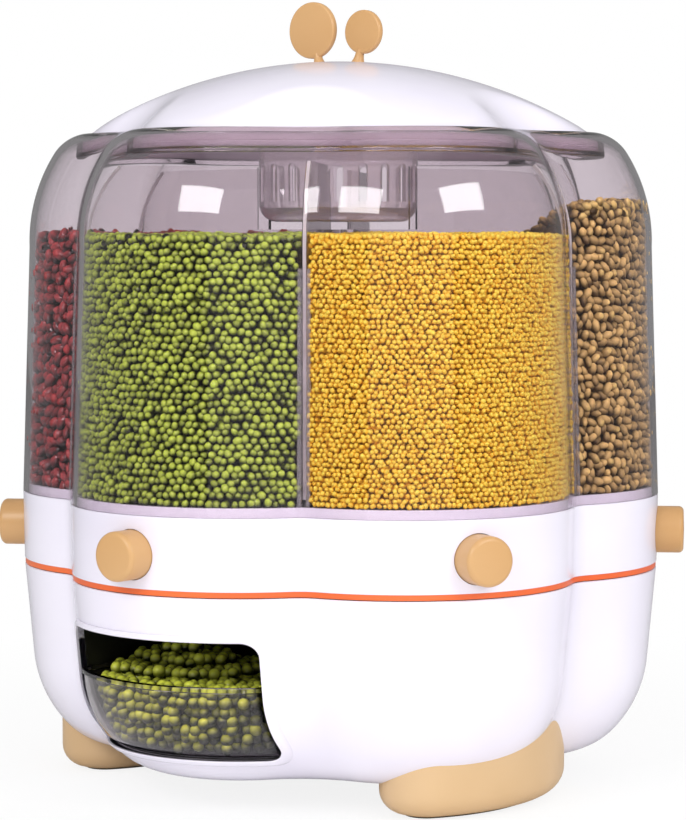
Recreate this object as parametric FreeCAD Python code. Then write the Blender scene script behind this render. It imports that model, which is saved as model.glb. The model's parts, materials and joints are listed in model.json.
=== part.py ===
import FreeCAD, Part
import math
import os

from FreeCAD import Vector

# Rotating grain dispenser: a six-lobed hopper that turns on a base, with one sprung gate per
# compartment and a measuring cup below the front outlet. Millimetres, +Z up, the origin on the
# turning axis at floor level, and the outlet towards -Y.

# Plan of the six-lobed body
LOBES = 6
BODY_R = 145.0  # lobe tips, at the widest height
LOBE_R = 75.4  # radius of each lobe's own arc, at the widest height
CREASE_FILLET = 14.8  # radius of the valley between two lobes, at the widest height

# Heights of the main pieces, from the floor up
BASE_BOTTOM_Z = 13.0
BASE_H = 82.6
SEAM_GAP = 0.4  # running gap between the bowl's rim and the turntable
TURNTABLE_T = 2.3
RING_H = 30.7
HOPPER_WALL_H = 110.5  # straight up to the shoulder
SHOULDER_H = 51.5

# Walls and clearances
BOWL_WALL = 2.6
RING_WALL = 2.5
HOPPER_WALL = 2.5
TRAY_WALL = 2.4
LID_WALL = 2.2
FREE_GAP = 0.3  # between pieces that move past each other
SEAT_GAP = 0.1  # between pieces of one assembly that plug together
BUSH_CLEARANCE = 0.05  # radial, in the pivot and between the rollers and their races

# Bowl of the base
BOWL_RIM_IN = 0.7  # the bowl's rim inside the ring's face
BOWL_LEAN = 0.09  # outward lean of the upper wall, as a slope
BOWL_WALL_H = 41.2  # of the straight upper wall
BOWL_FLANK_R = 53.5
BOWL_HEEL_R = 29.5
BOWL_FLOOR_IN = 53.0  # the flat floor's edge, in from the lobe tips

# Outlet in the front lobe of the bowl
OUTLET_SIDE_GAP = 2.146  # between its bay and the deck's bosses beside it
OUTLET_UP = 12.2  # its lower edge above the bowl's bottom
OUTLET_DOWN = 18.6  # its upper edge below the bowl's rim
OUTLET_CORNER_R = 6.0
OUTLET_LIP_W = 2.6
OUTLET_LIP_OUT = 1.5
BAY_DEPTH = 88.0  # the bay's back wall from the lobe's tip
BAY_WALL = 2.0
BAY_RIB_X = 28.0  # two ribs on the bowl's floor carry the bay
BAY_RIB_T = 2.0
BAY_RIB_IN = 35.0  # the ribs' front ends, in from the lobe's tip

# Measuring cup
CUP_SIDE_GAP = 1.5
CUP_FLOOR_GAP = 0.4
CUP_HEIGHT = 32.4
CUP_WALL = 2.0
CUP_FRONT_R = 12.0
CUP_BACK_R = 6.0
CUP_BEAD = 0.8
CUP_BEAD_H = 2.0
CUP_SOLE = 3.5  # slanted lower edges, clear of the outlet's round corners
CUP_FRONT_GAP = 0.3  # behind the bowl's outer surface
CUP_BACK_GAP = 3.0

# Feet
FOOT_IN = 55.0  # the front feet's centre lines, in from the lobe tips
FOOT_Y = -23.0
FOOT_HALF_W = 31.5
FOOT_HALF_L = 56.0
FOOT_UP = 25.0  # how far the feet reach up the bowl, from its bottom
FOOT_END_R = 20.0
FOOT_SOLE_R = 10.0
REAR_FOOT_IN = 61.0
PAD_T = 2.2
PAD_PROUD = 1.0
PAD_INSET = 11.0
FOOT_SCREW_IN = 14.0  # the foot screws from each foot's centre line, towards the axis
FOOT_SCREW_SPAN = 22.0  # and each way along it

# Turntable bearing
DECK_T = 2.5
DECK_GAP = 2.5  # from the deck's top to the turntable's underside
RACE_TO_TROUGH = 8.0  # from the races' outer edge to the trough's inner edge
RACE_W = 12.0
RACE_T = 1.2
ROLLERS = 12
ROLLER_R = 2.45
ROLLER_L = 8.0
CAGE_T = 1.4
PIVOT_R = 8.0
BUSH_WALL = 2.0
HUB_WALL = 4.0
HUB_H = 7.4
WASHER_R = 13.0
WASHER_T = 1.6
HUB_PLAY = 0.2  # between the hub and the washer that holds it down
CHANNEL_EDGE = 3.0  # of the deck's bearing channel, beside the races
RACE_SIDE_GAP = 1.0
RECESS_EDGE = 2.0  # of the turntable's bearing recess

# Grain path
TROUGH_DOWN = 11.5  # its floor below the ring's top
TROUGH_IN = 55.0  # its inner edge, in from the lobe tips
TROUGH_W = 12.0
CONE_ANGLE = 20.0
CONE_TOP_R = 5.0  # a small flat inside the divider's tube
CONE_SEAM_IN = 4.0  # the cone is a moulding of its own, up to this far inside the trough
CONE_LEDGE_T = 1.4
CONE_LEDGE_W = 3.0  # of the ledge under the cone's edge, each way from the seam
FLANK_ANGLE = 20.5
RIDGE_H = 13.0
RIDGE_ANGLE = 25.0
RIDGE_START_R = 30.0
SLOT_L = 44.0
SLOT_W = 10.0
TRAY_LIP_UP = 4.0  # the tray's rim above the ring's top
TRAY_SEAT_DOWN = 5.2  # and its seat below it
TRAY_LEDGE = 3.0
SLEEVE_WALL = 1.6
CHUTE_WALL = 1.6
CHUTE_FLANGE = 3.0
DROP_RIM = 3.0
DROP_MARGIN = 1.0  # each lower opening is this much larger all round than the one above

# Gates and buttons
BUTTON_R = 10.5
BUTTON_DOWN = 5.0  # the buttons' axes below the trough's floor
BUTTON_OUT = 11.8  # how far the button stands out of the ring
BUTTON_EDGE = 1.6
BUTTON_WALL = 1.8
BUTTON_GAP = 0.3
GUIDE_WALL = 1.6
GUIDE_L = 8.5
GATE_T = 2.5
GATE_HALF_W = 26.0
GATE_WINDOW_W = 8.6
GATE_LAP = 1.6  # how much of the gate covers the slot's outer edge at rest
GATE_IN = 6.0  # the gate's inner edge, in from the trough's inner edge
TONGUE_HALF_W = 6.0
TONGUE_DEPTH = 5.0  # the tongue's tip behind the button's face
BUTTON_IN = 5.5  # the button's back behind the ring's inner wall
EAR_T = 2.2
EAR_HALF_W = 13.0
EAR_HALF_H = 4.0
NECK_HALF_W = 8.0
NECK_HALF_H = 6.5
RAIL_T = 2.0
SPRING_R = 3.6
SPRING_WIRE = 0.9
SPRING_DROP = 1.5  # the spring's axis below the gate
SPRING_L = 24.0  # at rest
SPRING_POST_T = 3.0
SPRING_POST_HALF_W = 6.0
SPRING_PEG_L = 4.0

# Divider
PANEL_T = 2.0
PANEL_TOP_DOWN = 3.8  # below the neck's collar
PANEL_TOP_IN = 22.692  # the end of the panels' top edge, in from the creases
HUB_TUBE_R = 9.0
HUB_TUBE_WALL = 2.0
BASKET_ROOM = 3.5  # around the basket
PANEL_CORNER = (4.0, 18.0)  # a point of the panel's rounded corner: in from its edge, below its top
GROOVE_RIB_T = 1.6
GROOVE_DEPTH = 6.0

# Shoulder and neck of the hopper
HOPPER_DRAFT = 0.0325  # slope of the hopper's walls
SHOULDER_R = 75.0
NECK_BEND_R = 20.0
NECK_IN = 27.4  # in from the lobe tips
NECK_LEDGE_DOWN = 9.1  # below the top of the shoulder's curve
NECK_LEDGE_T = 2.4
NECK_LEDGE_W = 7.0

# Lid
LID_GAP = 0.4
LID_H = 8.5  # from the neck's ledge to the lid's plate
LID_PLATE_T = 2.0
LID_EDGE = (2.2, 1.2)  # the frame's upper bevel: along the top, down the side
LID_PLATE_LOBE_R = 20.0  # inside lobes of this radius the plate is one flat piece
LID_SCREW_IN = 9.6  # in from that flat piece's lobe tips
LID_SCREWS = 3
DOME_EDGE_IN = 3.4  # in from the neck
DOME_DROP = 32.837  # of its sphere, from its top out to its edge's radius
DOME_VALLEY_ANGLE = 45.0  # slope of the valleys in the dome's edge
DOME_H = 32.6
SEAL_W = 4.4
SEAL_H = 2.4
SPIGOT_R = 1.5
SPIGOT_L = 6.0

# Desiccant basket
BASKET_R = 36.0
BASKET_H = 39.4  # down from the lid's plate
BASKET_WALL = 1.6
BASKET_CORNER_R = 8.0
BASKET_SLOTS = 20
BASKET_SLOT_UP = 9.0  # above the basket's bottom
BASKET_SLOT_H = 17.0
BASKET_SLOT_W = 4.0
FLANGE_OUT = 3.0
FLANGE_T = 2.0
HOOKS = 3
HOOK_W = 14.0
HOOK_T = 1.8

# Antennae on the lid
ANTENNA_X = 11.0
ANTENNA_LEAN = 13.0  # outward lean of the stems, in degrees
ANTENNA_T = 3.2
ANTENNA_EDGE = 0.8
LARGE_DISC_R = 12.8
LARGE_DISC_UP = 15.2  # the discs' centres above the dome's top, before they lean
SMALL_DISC_R = 9.8
SMALL_DISC_UP = 13.4
STEM_R = 3.0
STEM_TIP_R = 1.8

# Screws
SCREW_R = 1.45
PILOT_R = 1.5
SCREW_CLEAR = 0.25
SCREW_HEAD_R = 3.0
SCREW_HEAD_T = 1.4
BOSS_R = 4.6
BOSS_TO_WALL = 3.0  # from the deck's bosses to the bowl's wall

# Derived heights
BASE_RIM_Z = BASE_BOTTOM_Z + BASE_H
BOWL_BEND_Z = BASE_RIM_Z - BOWL_WALL_H
OUTLET_LOW_Z = BASE_BOTTOM_Z + OUTLET_UP
OUTLET_HIGH_Z = BASE_RIM_Z - OUTLET_DOWN
FOOT_TOP_Z = BASE_BOTTOM_Z + FOOT_UP
TURNTABLE_Z = BASE_RIM_Z + SEAM_GAP
RING_BOTTOM_Z = TURNTABLE_Z + TURNTABLE_T
RING_TOP_Z = RING_BOTTOM_Z + RING_H
TRAY_LIP_Z = RING_TOP_Z + TRAY_LIP_UP
TRAY_SEAT_Z = RING_TOP_Z - TRAY_SEAT_DOWN
TROUGH_Z = RING_TOP_Z - TROUGH_DOWN
BUTTON_Z = TROUGH_Z - BUTTON_DOWN
SHOULDER_Z = RING_TOP_Z + HOPPER_WALL_H
HOPPER_TOP_Z = SHOULDER_Z + SHOULDER_H
NECK_LEDGE_Z = HOPPER_TOP_Z - NECK_LEDGE_DOWN
NECK_BOTTOM_Z = NECK_LEDGE_Z - NECK_LEDGE_T
PANEL_TOP_Z = NECK_BOTTOM_Z - PANEL_TOP_DOWN
LID_TOP_Z = NECK_LEDGE_Z + LID_H
BASKET_BOTTOM_Z = LID_TOP_Z - BASKET_H
BASKET_SLOT_LOW_Z = BASKET_BOTTOM_Z + BASKET_SLOT_UP
BASKET_SLOT_HIGH_Z = BASKET_SLOT_LOW_Z + BASKET_SLOT_H
DOME_TOP_Z = LID_TOP_Z + DOME_H
LARGE_DISC_Z = DOME_TOP_Z + LARGE_DISC_UP
SMALL_DISC_Z = DOME_TOP_Z + SMALL_DISC_UP

# Derived radii and places
LOBE_OFFSET = BODY_R - LOBE_R
BOWL_RIM_R = BODY_R - BOWL_RIM_IN
BOWL_FLOOR_R = BODY_R - BOWL_FLOOR_IN
BAY_BACK_Y = BODY_R - BAY_DEPTH
FOOT_X = BODY_R - FOOT_IN
REAR_FOOT_Y = BODY_R - REAR_FOOT_IN
TROUGH_IN_R = BODY_R - TROUGH_IN
CONE_SEAM_R = TROUGH_IN_R - CONE_SEAM_IN
RACE_OUT_R = TROUGH_IN_R - RACE_TO_TROUGH
RACE_IN_R = RACE_OUT_R - RACE_W
GATE_IN_R = TROUGH_IN_R - GATE_IN
SPRING_POST_R = GATE_IN_R - SPRING_L
NECK_R = BODY_R - NECK_IN
NECK_LEDGE_R = NECK_R - NECK_LEDGE_W
LID_PLATE_R = LOBE_OFFSET + LID_PLATE_LOBE_R
LID_SCREW_R = LID_PLATE_R - LID_SCREW_IN
DOME_EDGE_R = NECK_R - DOME_EDGE_IN
DOME_SPHERE_R = (DOME_EDGE_R**2 + DOME_DROP**2) / (2 * DOME_DROP)
DECK_TOP_Z = TURNTABLE_Z - DECK_GAP
DECK_Z = DECK_TOP_Z - DECK_T
HALF_LOBE = math.pi / LOBES
CREASE_CENTRE = LOBE_OFFSET * math.cos(HALF_LOBE) + math.sqrt(
    (BODY_R - LOBE_OFFSET + CREASE_FILLET) ** 2 - (LOBE_OFFSET * math.sin(HALF_LOBE)) ** 2
)
CREASE_R = CREASE_CENTRE - CREASE_FILLET
PANEL_TOP_R = CREASE_R - PANEL_TOP_IN
CREASE_HALF = math.atan2(
    LOBE_OFFSET * math.sin(HALF_LOBE), CREASE_CENTRE - LOBE_OFFSET * math.cos(HALF_LOBE)
)
LOBE_HALF = HALF_LOBE + CREASE_HALF
TROUGH_OUT_R = TROUGH_IN_R + TROUGH_W
SLOT_MID_R = (TROUGH_IN_R + TROUGH_OUT_R) / 2
TROUGH_UNDER_Z = TROUGH_Z - TRAY_WALL
GATE_TOP_Z = TROUGH_UNDER_Z - FREE_GAP
GATE_Z = GATE_TOP_Z - GATE_T
SLEEVE_TOP_Z = GATE_Z - FREE_GAP
BUTTON_TIP_R = BODY_R + BUTTON_OUT
FLOOR_Z = BASE_BOTTOM_Z + BOWL_WALL
SPRING_Z = GATE_Z - SPRING_DROP
TONGUE_TIP_R = BUTTON_TIP_R - TONGUE_DEPTH
BUTTON_IN_R = BODY_R - RING_WALL - BUTTON_IN
EAR_OUT_R = BODY_R - RING_WALL - GUIDE_L - FREE_GAP
ROLLER_ROOM = 2 * (ROLLER_R + BUSH_CLEARANCE)
UPPER_RACE_Z = TURNTABLE_Z + 0.2
RACE_Z = UPPER_RACE_Z - ROLLER_ROOM - RACE_T
ROLLER_Z = RACE_Z + RACE_T + ROLLER_ROOM / 2
CHANNEL_Z = RACE_Z - DECK_T
WASHER_Z = RING_BOTTOM_Z + HUB_H + HUB_PLAY
BUSH_OUT_R = PIVOT_R + BUSH_CLEARANCE + BUSH_WALL
RING_SCREW_Z = TURNTABLE_Z + SCREW_HEAD_T + SEAT_GAP
DECK_BOSS_R = CREASE_R - BOWL_WALL - BOSS_R - BOSS_TO_WALL
OUTLET_HALF_W = DECK_BOSS_R * math.sin(HALF_LOBE) - BOSS_R - BAY_WALL - OUTLET_SIDE_GAP
RING_BOSS_R = CREASE_R - RING_WALL - BOSS_R
TRAY_R = BODY_R - HOPPER_WALL - 0.2
LID_R = NECK_R - LID_GAP
LID_SEAT_Z = NECK_LEDGE_Z + FREE_GAP + SEAL_H
LID_PLATE_Z = LID_TOP_Z - LID_PLATE_T
DOME_CENTRE = Vector(0, 0, DOME_TOP_Z - DOME_SPHERE_R)
FLANGE_R = BASKET_R + FLANGE_OUT


def save(shape, name):
    """Write one sub-part to its own STEP file."""
    shape.exportStep("parts/" + name + ".step")


def at_lobe(shape, k):
    """Turn a shape drawn along +X to lobe k; lobe 0 is the front one, at -Y."""
    turned = shape.copy()
    turned.rotate(Vector(), Vector(0, 0, 1), -90 + k * 360 / LOBES)
    return turned


def at_crease(shape, k):
    """Turn a shape drawn along +X to the crease after lobe k."""
    return at_lobe(shape, k + 0.5)


def ring_of(shape, place, count=LOBES):
    """Copies of a shape, one per lobe or crease."""
    return [place(shape, k) for k in range(count)]


def joined(shapes):
    """Fuse shapes into one solid and drop the seams between faces of one surface."""
    whole = shapes[0].multiFuse(shapes[1:]) if len(shapes) > 1 else shapes[0]
    return whole.removeSplitter()


def box(x0, x1, y0, y1, z0, z1):
    """A box by its limits."""
    return Part.makeBox(x1 - x0, y1 - y0, z1 - z0, Vector(x0, y0, z0))


def tube(outer_r, inner_r, z0, z1):
    """A ring about the turning axis."""
    outer = Part.makeCylinder(outer_r, z1 - z0, Vector(0, 0, z0))
    return outer.cut(Part.makeCylinder(inner_r, z1 - z0, Vector(0, 0, z0)))


def disc(radius, x, y, z0, z1):
    """A vertical cylinder."""
    return Part.makeCylinder(radius, z1 - z0, Vector(x, y, z0))


def radial_rod(radius, r0, r1, z):
    """A cylinder along +X from r0 to r1."""
    return Part.makeCylinder(radius, r1 - r0, Vector(r0, 0, z), Vector(1, 0, 0))


class Outline:
    """An outline of lines and arcs in the radial plane, with r along X."""

    def __init__(self, r, z):
        self.here = Vector(r, 0, z)
        self.edges = []

    def line(self, r, z):
        """A straight edge to (r, z)."""
        there = Vector(r, 0, z)
        self.edges.append(Part.LineSegment(self.here, there).toShape())
        self.here = there
        return self

    def arc(self, mid, end):
        """An arc through mid to end, both (r, z)."""
        there = Vector(end[0], 0, end[1])
        self.edges.append(Part.Arc(self.here, Vector(mid[0], 0, mid[1]), there).toShape())
        self.here = there
        return self

    def face(self):
        """The closed face."""
        first = self.edges[0].Vertexes[0].Point
        if self.here.distanceToPoint(first) > 1e-6:
            self.line(first.x, first.z)
        return Part.Face(Part.Wire(self.edges))


class Bend:
    """A wall that runs straight, bends in through two tangent arcs and ends level.

    Offsets move the whole curve inwards by a wall's thickness, about the same centres.
    """

    def __init__(self, start, slope, first_r, second_r, end_z):
        self.up = 1 if end_z > start[1] else -1
        length = math.hypot(slope, 1)
        self.inward = (-1 / length, -slope * self.up / length)
        self.start = start
        self.first_r = first_r
        self.second_r = second_r
        self.first = (start[0] + self.inward[0] * first_r, start[1] + self.inward[1] * first_r)
        second_z = end_z - self.up * second_r
        drop = second_z - self.first[1]
        self.second = (
            self.first[0] + math.sqrt((first_r - second_r) ** 2 - drop**2),
            second_z,
        )
        self.turn = math.atan2(drop, self.second[0] - self.first[0])
        self.end_z = end_z

    def at(self, centre, radius, angle):
        """The point of an arc at an angle in the radial plane."""
        return (centre[0] + radius * math.cos(angle), centre[1] + radius * math.sin(angle))

    def begin(self, offset=0.0):
        """Where the first arc starts."""
        return (
            self.start[0] + self.inward[0] * offset,
            self.start[1] + self.inward[1] * offset,
        )

    def height(self, r, offset=0.0):
        """The curve's height at radius r on its second arc."""
        rise = math.sqrt((self.second_r - offset) ** 2 - (r - self.second[0]) ** 2)
        return self.second[1] + self.up * rise

    def arcs(self, offset=0.0, end_r=None):
        """(mid, end) of each arc, ending level or at radius end_r on the second arc."""
        start_angle = math.atan2(-self.inward[1], -self.inward[0])
        first_r = self.first_r - offset
        second_r = self.second_r - offset
        if end_r is None:
            last = self.up * math.pi / 2
        else:
            last = self.up * math.acos((end_r - self.second[0]) / second_r)
        return [
            (
                self.at(self.first, first_r, (start_angle + self.turn) / 2),
                self.at(self.first, first_r, self.turn),
            ),
            (
                self.at(self.second, second_r, (self.turn + last) / 2),
                self.at(self.second, second_r, last),
            ),
        ]

    def draw_in(self, outline, offset=0.0, end_r=None):
        """Add the arcs to an outline that stands at begin(offset)."""
        for mid, end in self.arcs(offset, end_r):
            outline.arc(mid, end)
        return outline

    def draw_out(self, outline, offset=0.0, end_r=None):
        """Add the arcs the other way, from the curve's end to begin(offset)."""
        first, second = self.arcs(offset, end_r)
        outline.arc(second[0], first[1])
        outline.arc(first[0], self.begin(offset))
        return outline


def lobe_sector(face):
    """The stretch of a lobed wall about one lobe's own axis, drawn for the lobe at +X."""
    centre = Vector(LOBE_OFFSET, 0, 0)
    start = face.copy()
    start.rotate(centre, Vector(0, 0, 1), -math.degrees(LOBE_HALF))
    return start.revolve(centre, Vector(0, 0, 1), 2 * math.degrees(LOBE_HALF))


def crease_sector(face):
    """The stretch of a lobed wall about the crease's axis, on the far side of that lobe."""
    start = face.copy()
    start.rotate(Vector(LOBE_OFFSET, 0, 0), Vector(0, 0, 1), math.degrees(LOBE_HALF))
    centre = Vector(
        CREASE_CENTRE * math.cos(HALF_LOBE), CREASE_CENTRE * math.sin(HALF_LOBE), 0
    )
    return start.revolve(centre, Vector(0, 0, 1), -2 * math.degrees(CREASE_HALF))


def lobed(face):
    """A wall of six lobes from one radial face, which is drawn on a lobe's centre line.

    The face turns about each lobe's own axis and then about each crease's axis, so a wall keeps
    its thickness all round.
    """
    lobe = lobe_sector(face)
    crease = crease_sector(face)
    return joined(ring_of(lobe, at_lobe) + ring_of(crease, at_lobe))


def lobed_wire(tip_r, z, angle=-90.0):
    """The body's plan at another radius of the lobe tips, with the same arc centres."""
    lobe_r = tip_r - LOBE_OFFSET
    crease_r = CREASE_FILLET + BODY_R - tip_r
    edges = []
    for k in range(LOBES):
        mid = math.radians(angle) + 2 * k * HALF_LOBE
        centre = Vector(LOBE_OFFSET * math.cos(mid), LOBE_OFFSET * math.sin(mid), z)
        points = [
            centre + Vector(lobe_r * math.cos(mid + a), lobe_r * math.sin(mid + a), 0)
            for a in (-LOBE_HALF, 0, LOBE_HALF)
        ]
        edges.append(Part.Arc(*points).toShape())
        valley = mid + HALF_LOBE
        far = Vector(CREASE_CENTRE * math.cos(valley), CREASE_CENTRE * math.sin(valley), z)
        points = [
            far - Vector(crease_r * math.cos(valley + a), crease_r * math.sin(valley + a), 0)
            for a in (CREASE_HALF, 0, -CREASE_HALF)
        ]
        edges.append(Part.Arc(*points).toShape())
    return Part.Wire(edges)


def lobed_prism(tip_r, z0, z1):
    """A solid with the lobed plan."""
    return Part.Face(lobed_wire(tip_r, z0)).extrude(Vector(0, 0, z1 - z0))


def lobed_ring(outer_r, inner_r, z0, z1):
    """A wall of even thickness with the lobed plan."""
    return lobed_prism(outer_r, z0, z1).cut(lobed_prism(inner_r, z0, z1))


def rounded_rect(half_w, low, high, radius, y0, y1):
    """A prism along Y, with corners rounded in the upright plane."""
    block = box(-half_w, half_w, y0, y1, low, high)
    edges = [e for e in block.Edges if abs(e.tangentAt(e.FirstParameter).y) > 0.9]
    return block.makeFillet(radius, edges)


BOWL = Bend(
    (BOWL_RIM_R - BOWL_LEAN * (BASE_RIM_Z - BOWL_BEND_Z), BOWL_BEND_Z),
    BOWL_LEAN,
    BOWL_FLANK_R,
    BOWL_HEEL_R,
    BASE_BOTTOM_Z,
)
SHOULDER = Bend(
    (BODY_R - HOPPER_DRAFT * (SHOULDER_Z - RING_TOP_Z), SHOULDER_Z),
    -HOPPER_DRAFT,
    SHOULDER_R,
    NECK_BEND_R,
    HOPPER_TOP_Z,
)


def bowl_face(offset, inner_r):
    """Half the bowl's section out from a radius, its outer side moved inwards by an offset."""
    lean = math.hypot(1, BOWL_LEAN)
    outline = Outline(BOWL_RIM_R - offset * lean, BASE_RIM_Z).line(*BOWL.begin(offset))
    BOWL.draw_in(outline, offset)
    outline.line(inner_r, BASE_BOTTOM_Z + offset).line(inner_r, BASE_RIM_Z)
    return outline.face()


def bowl_solid(offset):
    """The bowl's outer volume, moved inwards by an offset."""
    core = lobed_prism(BOWL_FLOOR_R, BASE_BOTTOM_Z + offset, BASE_RIM_Z)
    return joined([lobed(bowl_face(offset, BOWL_FLOOR_R)), core])


def bowl_front(offset):
    """The front lobe's outer volume: half a turn about its own axis, and a block behind."""
    centre = Vector(LOBE_OFFSET, 0, 0)
    face = bowl_face(offset, LOBE_OFFSET)
    face.rotate(centre, Vector(0, 0, 1), -90)
    half = face.revolve(centre, Vector(0, 0, 1), 180)
    back = box(-BODY_R, BODY_R, -LOBE_OFFSET, 0, BASE_BOTTOM_Z + offset, BASE_RIM_Z)
    return joined([at_lobe(half, 0), back])


def base_shell(outer, inner):
    """The bowl, with its outlet and raised lip, deck bosses and ribs that carry the bay."""
    shell = outer.cut(inner)
    boss = disc(BOSS_R, DECK_BOSS_R, 0, BASE_BOTTOM_Z, DECK_Z)
    bosses = [b.common(outer) for b in ring_of(boss, at_crease)]
    rib = box(0, BAY_RIB_T, BAY_RIB_IN - BODY_R, -BAY_BACK_Y - 5, BASE_BOTTOM_Z, OUTLET_LOW_Z - BAY_WALL)
    ribs = []
    for x in (-BAY_RIB_X, BAY_RIB_X):
        ribs.append(rib.translated(Vector(x - BAY_RIB_T / 2, 0, 0)).common(outer))
    shell = joined([shell] + bosses + ribs)
    window = rounded_rect(
        OUTLET_HALF_W, OUTLET_LOW_Z, OUTLET_HIGH_Z, OUTLET_CORNER_R, -BODY_R - 20, -LOBE_OFFSET
    )
    frame = rounded_rect(
        OUTLET_HALF_W + OUTLET_LIP_W,
        OUTLET_LOW_Z - OUTLET_LIP_W,
        OUTLET_HIGH_Z + OUTLET_LIP_W,
        OUTLET_CORNER_R + OUTLET_LIP_W,
        -BODY_R - 20,
        -LOBE_OFFSET,
    )
    proud = bowl_front(-OUTLET_LIP_OUT)
    lip = proud.common(frame).cut(inner)
    shell = joined([shell, lip]).cut(window)
    holes = ring_of(disc(PILOT_R, DECK_BOSS_R, 0, DECK_Z - 14, DECK_Z), at_crease)
    feet = [disc(SCREW_R + SCREW_CLEAR, x, y, 0, FLOOR_Z) for x, y in foot_screw_places()]
    return shell.cut(Part.Compound(holes + feet))


def drop_rect(grow, z0, z1):
    """The grain's way down at lobe 0, drawn along +X, wider all round by grow."""
    half = SLOT_L / 2 + grow
    return box(SLOT_MID_R - SLOT_W / 2 - grow, SLOT_MID_R + SLOT_W / 2 + grow, -half, half, z0, z1)


def base_deck():
    """The fixed deck that closes the bowl, with the bearing channel, pivot and drop hole."""
    plate = lobed_prism(BOWL_RIM_R - BOWL_WALL - 1.0, DECK_Z, DECK_TOP_Z)
    channel = tube(RACE_OUT_R + CHANNEL_EDGE, RACE_IN_R - CHANNEL_EDGE, CHANNEL_Z, DECK_TOP_Z)
    recess = tube(RACE_OUT_R + RACE_SIDE_GAP, RACE_IN_R - RACE_SIDE_GAP, RACE_Z, DECK_TOP_Z)
    hub = disc(PIVOT_R + HUB_WALL, 0, 0, CHANNEL_Z, DECK_TOP_Z + 1.0)
    post = disc(PIVOT_R, 0, 0, CHANNEL_Z, WASHER_Z)
    rib = box(PIVOT_R, DECK_BOSS_R - BOSS_R - 2, -1, 1, CHANNEL_Z, DECK_TOP_Z - 1)
    rim = at_lobe(drop_rect(DROP_MARGIN + DROP_RIM, DECK_Z, TURNTABLE_Z - FREE_GAP), 0)
    deck = joined([plate, channel, hub, post, rim] + ring_of(rib, at_crease))
    hole = at_lobe(drop_rect(DROP_MARGIN * 2, CHANNEL_Z, TURNTABLE_Z), 0)
    passage = disc(SCREW_R + SCREW_CLEAR, DECK_BOSS_R, 0, DECK_Z - 1, DECK_TOP_Z)
    pilot = disc(PILOT_R, 0, 0, WASHER_Z - 16, WASHER_Z)
    return deck.cut(Part.Compound([recess, hole, pilot] + ring_of(passage, at_crease)))


def foot_screw_places():
    """Two screws through the bowl's floor into each foot."""
    front_x = FOOT_X - FOOT_SCREW_IN
    places = []
    for span in (-FOOT_SCREW_SPAN, FOOT_SCREW_SPAN):
        places += [(-front_x, FOOT_Y + span), (front_x, FOOT_Y + span)]
        places.append((span, REAR_FOOT_Y - FOOT_SCREW_IN))
    return places


def oval(half_l, half_w, end_r):
    """An oval face of four tangent arcs, long along X."""
    run = half_l - end_r
    side_r = (run**2 + half_w**2 - end_r**2) / (2 * (half_w - end_r))
    turn = math.atan2(side_r - half_w, run)
    centres = [
        (Vector(run, 0, 0), end_r, 0.0, turn),
        (Vector(0, half_w - side_r, 0), side_r, math.pi / 2, math.pi / 2 - turn),
        (Vector(-run, 0, 0), end_r, math.pi, turn),
        (Vector(0, side_r - half_w, 0), side_r, -math.pi / 2, math.pi / 2 - turn),
    ]
    edges = []
    for centre, radius, mid, half in centres:
        points = [
            centre + Vector(radius * math.cos(mid + a), radius * math.sin(mid + a), 0)
            for a in (-half, 0, half)
        ]
        edges.append(Part.Arc(*points).toShape())
    return Part.Face(Part.Wire(edges))


def placed(body, x, y, z, along_x):
    """Put a piece of a foot in its place, long along X or along Y."""
    if not along_x:
        body.rotate(Vector(), Vector(0, 0, 1), 90)
    body.translate(Vector(x, y, z))
    return body


def foot(x, y, along_x, bowl):
    """A rounded shoe, cut on top by the bowl it is screwed to."""
    plan = oval(FOOT_HALF_L, FOOT_HALF_W, FOOT_END_R)
    body = plan.extrude(Vector(0, 0, FOOT_TOP_Z - PAD_PROUD))
    body = body.makeFillet(FOOT_SOLE_R, [e for e in body.Edges if e.CenterOfMass.z < 0.1])
    body = placed(body, x, y, PAD_PROUD, along_x)
    body = body.cut(bowl).cut(foot_pad(x, y, along_x))
    holes = [disc(PILOT_R, sx, sy, FLOOR_Z - 12, FLOOR_Z) for sx, sy in foot_screw_places()]
    return body.cut(Part.Compound(holes))


def foot_pad(x, y, along_x):
    """A rubber sole, let into the foot."""
    plan = oval(FOOT_HALF_L - PAD_INSET, FOOT_HALF_W - PAD_INSET, FOOT_END_R - PAD_INSET)
    return placed(plan.extrude(Vector(0, 0, PAD_T)), x, y, 0, along_x)


def cup_bay(inner):
    """The dark liner behind the outlet, open at the front and under the chute."""
    back = -BAY_BACK_Y
    outside = box(
        -OUTLET_HALF_W - BAY_WALL,
        OUTLET_HALF_W + BAY_WALL,
        -BODY_R,
        back + BAY_WALL,
        OUTLET_LOW_Z - BAY_WALL,
        OUTLET_HIGH_Z + BAY_WALL,
    )
    inside = rounded_rect(
        OUTLET_HALF_W, OUTLET_LOW_Z, OUTLET_HIGH_Z, OUTLET_CORNER_R, -BODY_R - 1, back
    )
    hole = at_lobe(drop_rect(DROP_MARGIN * 2 + CHUTE_WALL + 0.4, OUTLET_HIGH_Z - 1, DECK_Z), 0)
    return outside.common(inner).cut(inside).cut(hole)


def drop_chute():
    """The spout that leads grain from the deck into the bay."""
    grow = DROP_MARGIN * 2
    spout = drop_rect(grow + CHUTE_WALL, OUTLET_HIGH_Z - 2, DECK_Z)
    flange = drop_rect(grow + CHUTE_WALL + CHUTE_FLANGE, DECK_Z - CHUTE_WALL, DECK_Z)
    bore = drop_rect(grow, OUTLET_HIGH_Z - 3, DECK_Z)
    under = disc(RACE_OUT_R + CHANNEL_EDGE + SEAT_GAP, 0, 0, CHANNEL_Z - 1, DECK_Z)
    return at_lobe(joined([spout, flange]).cut(bore), 0).cut(under)


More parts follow.
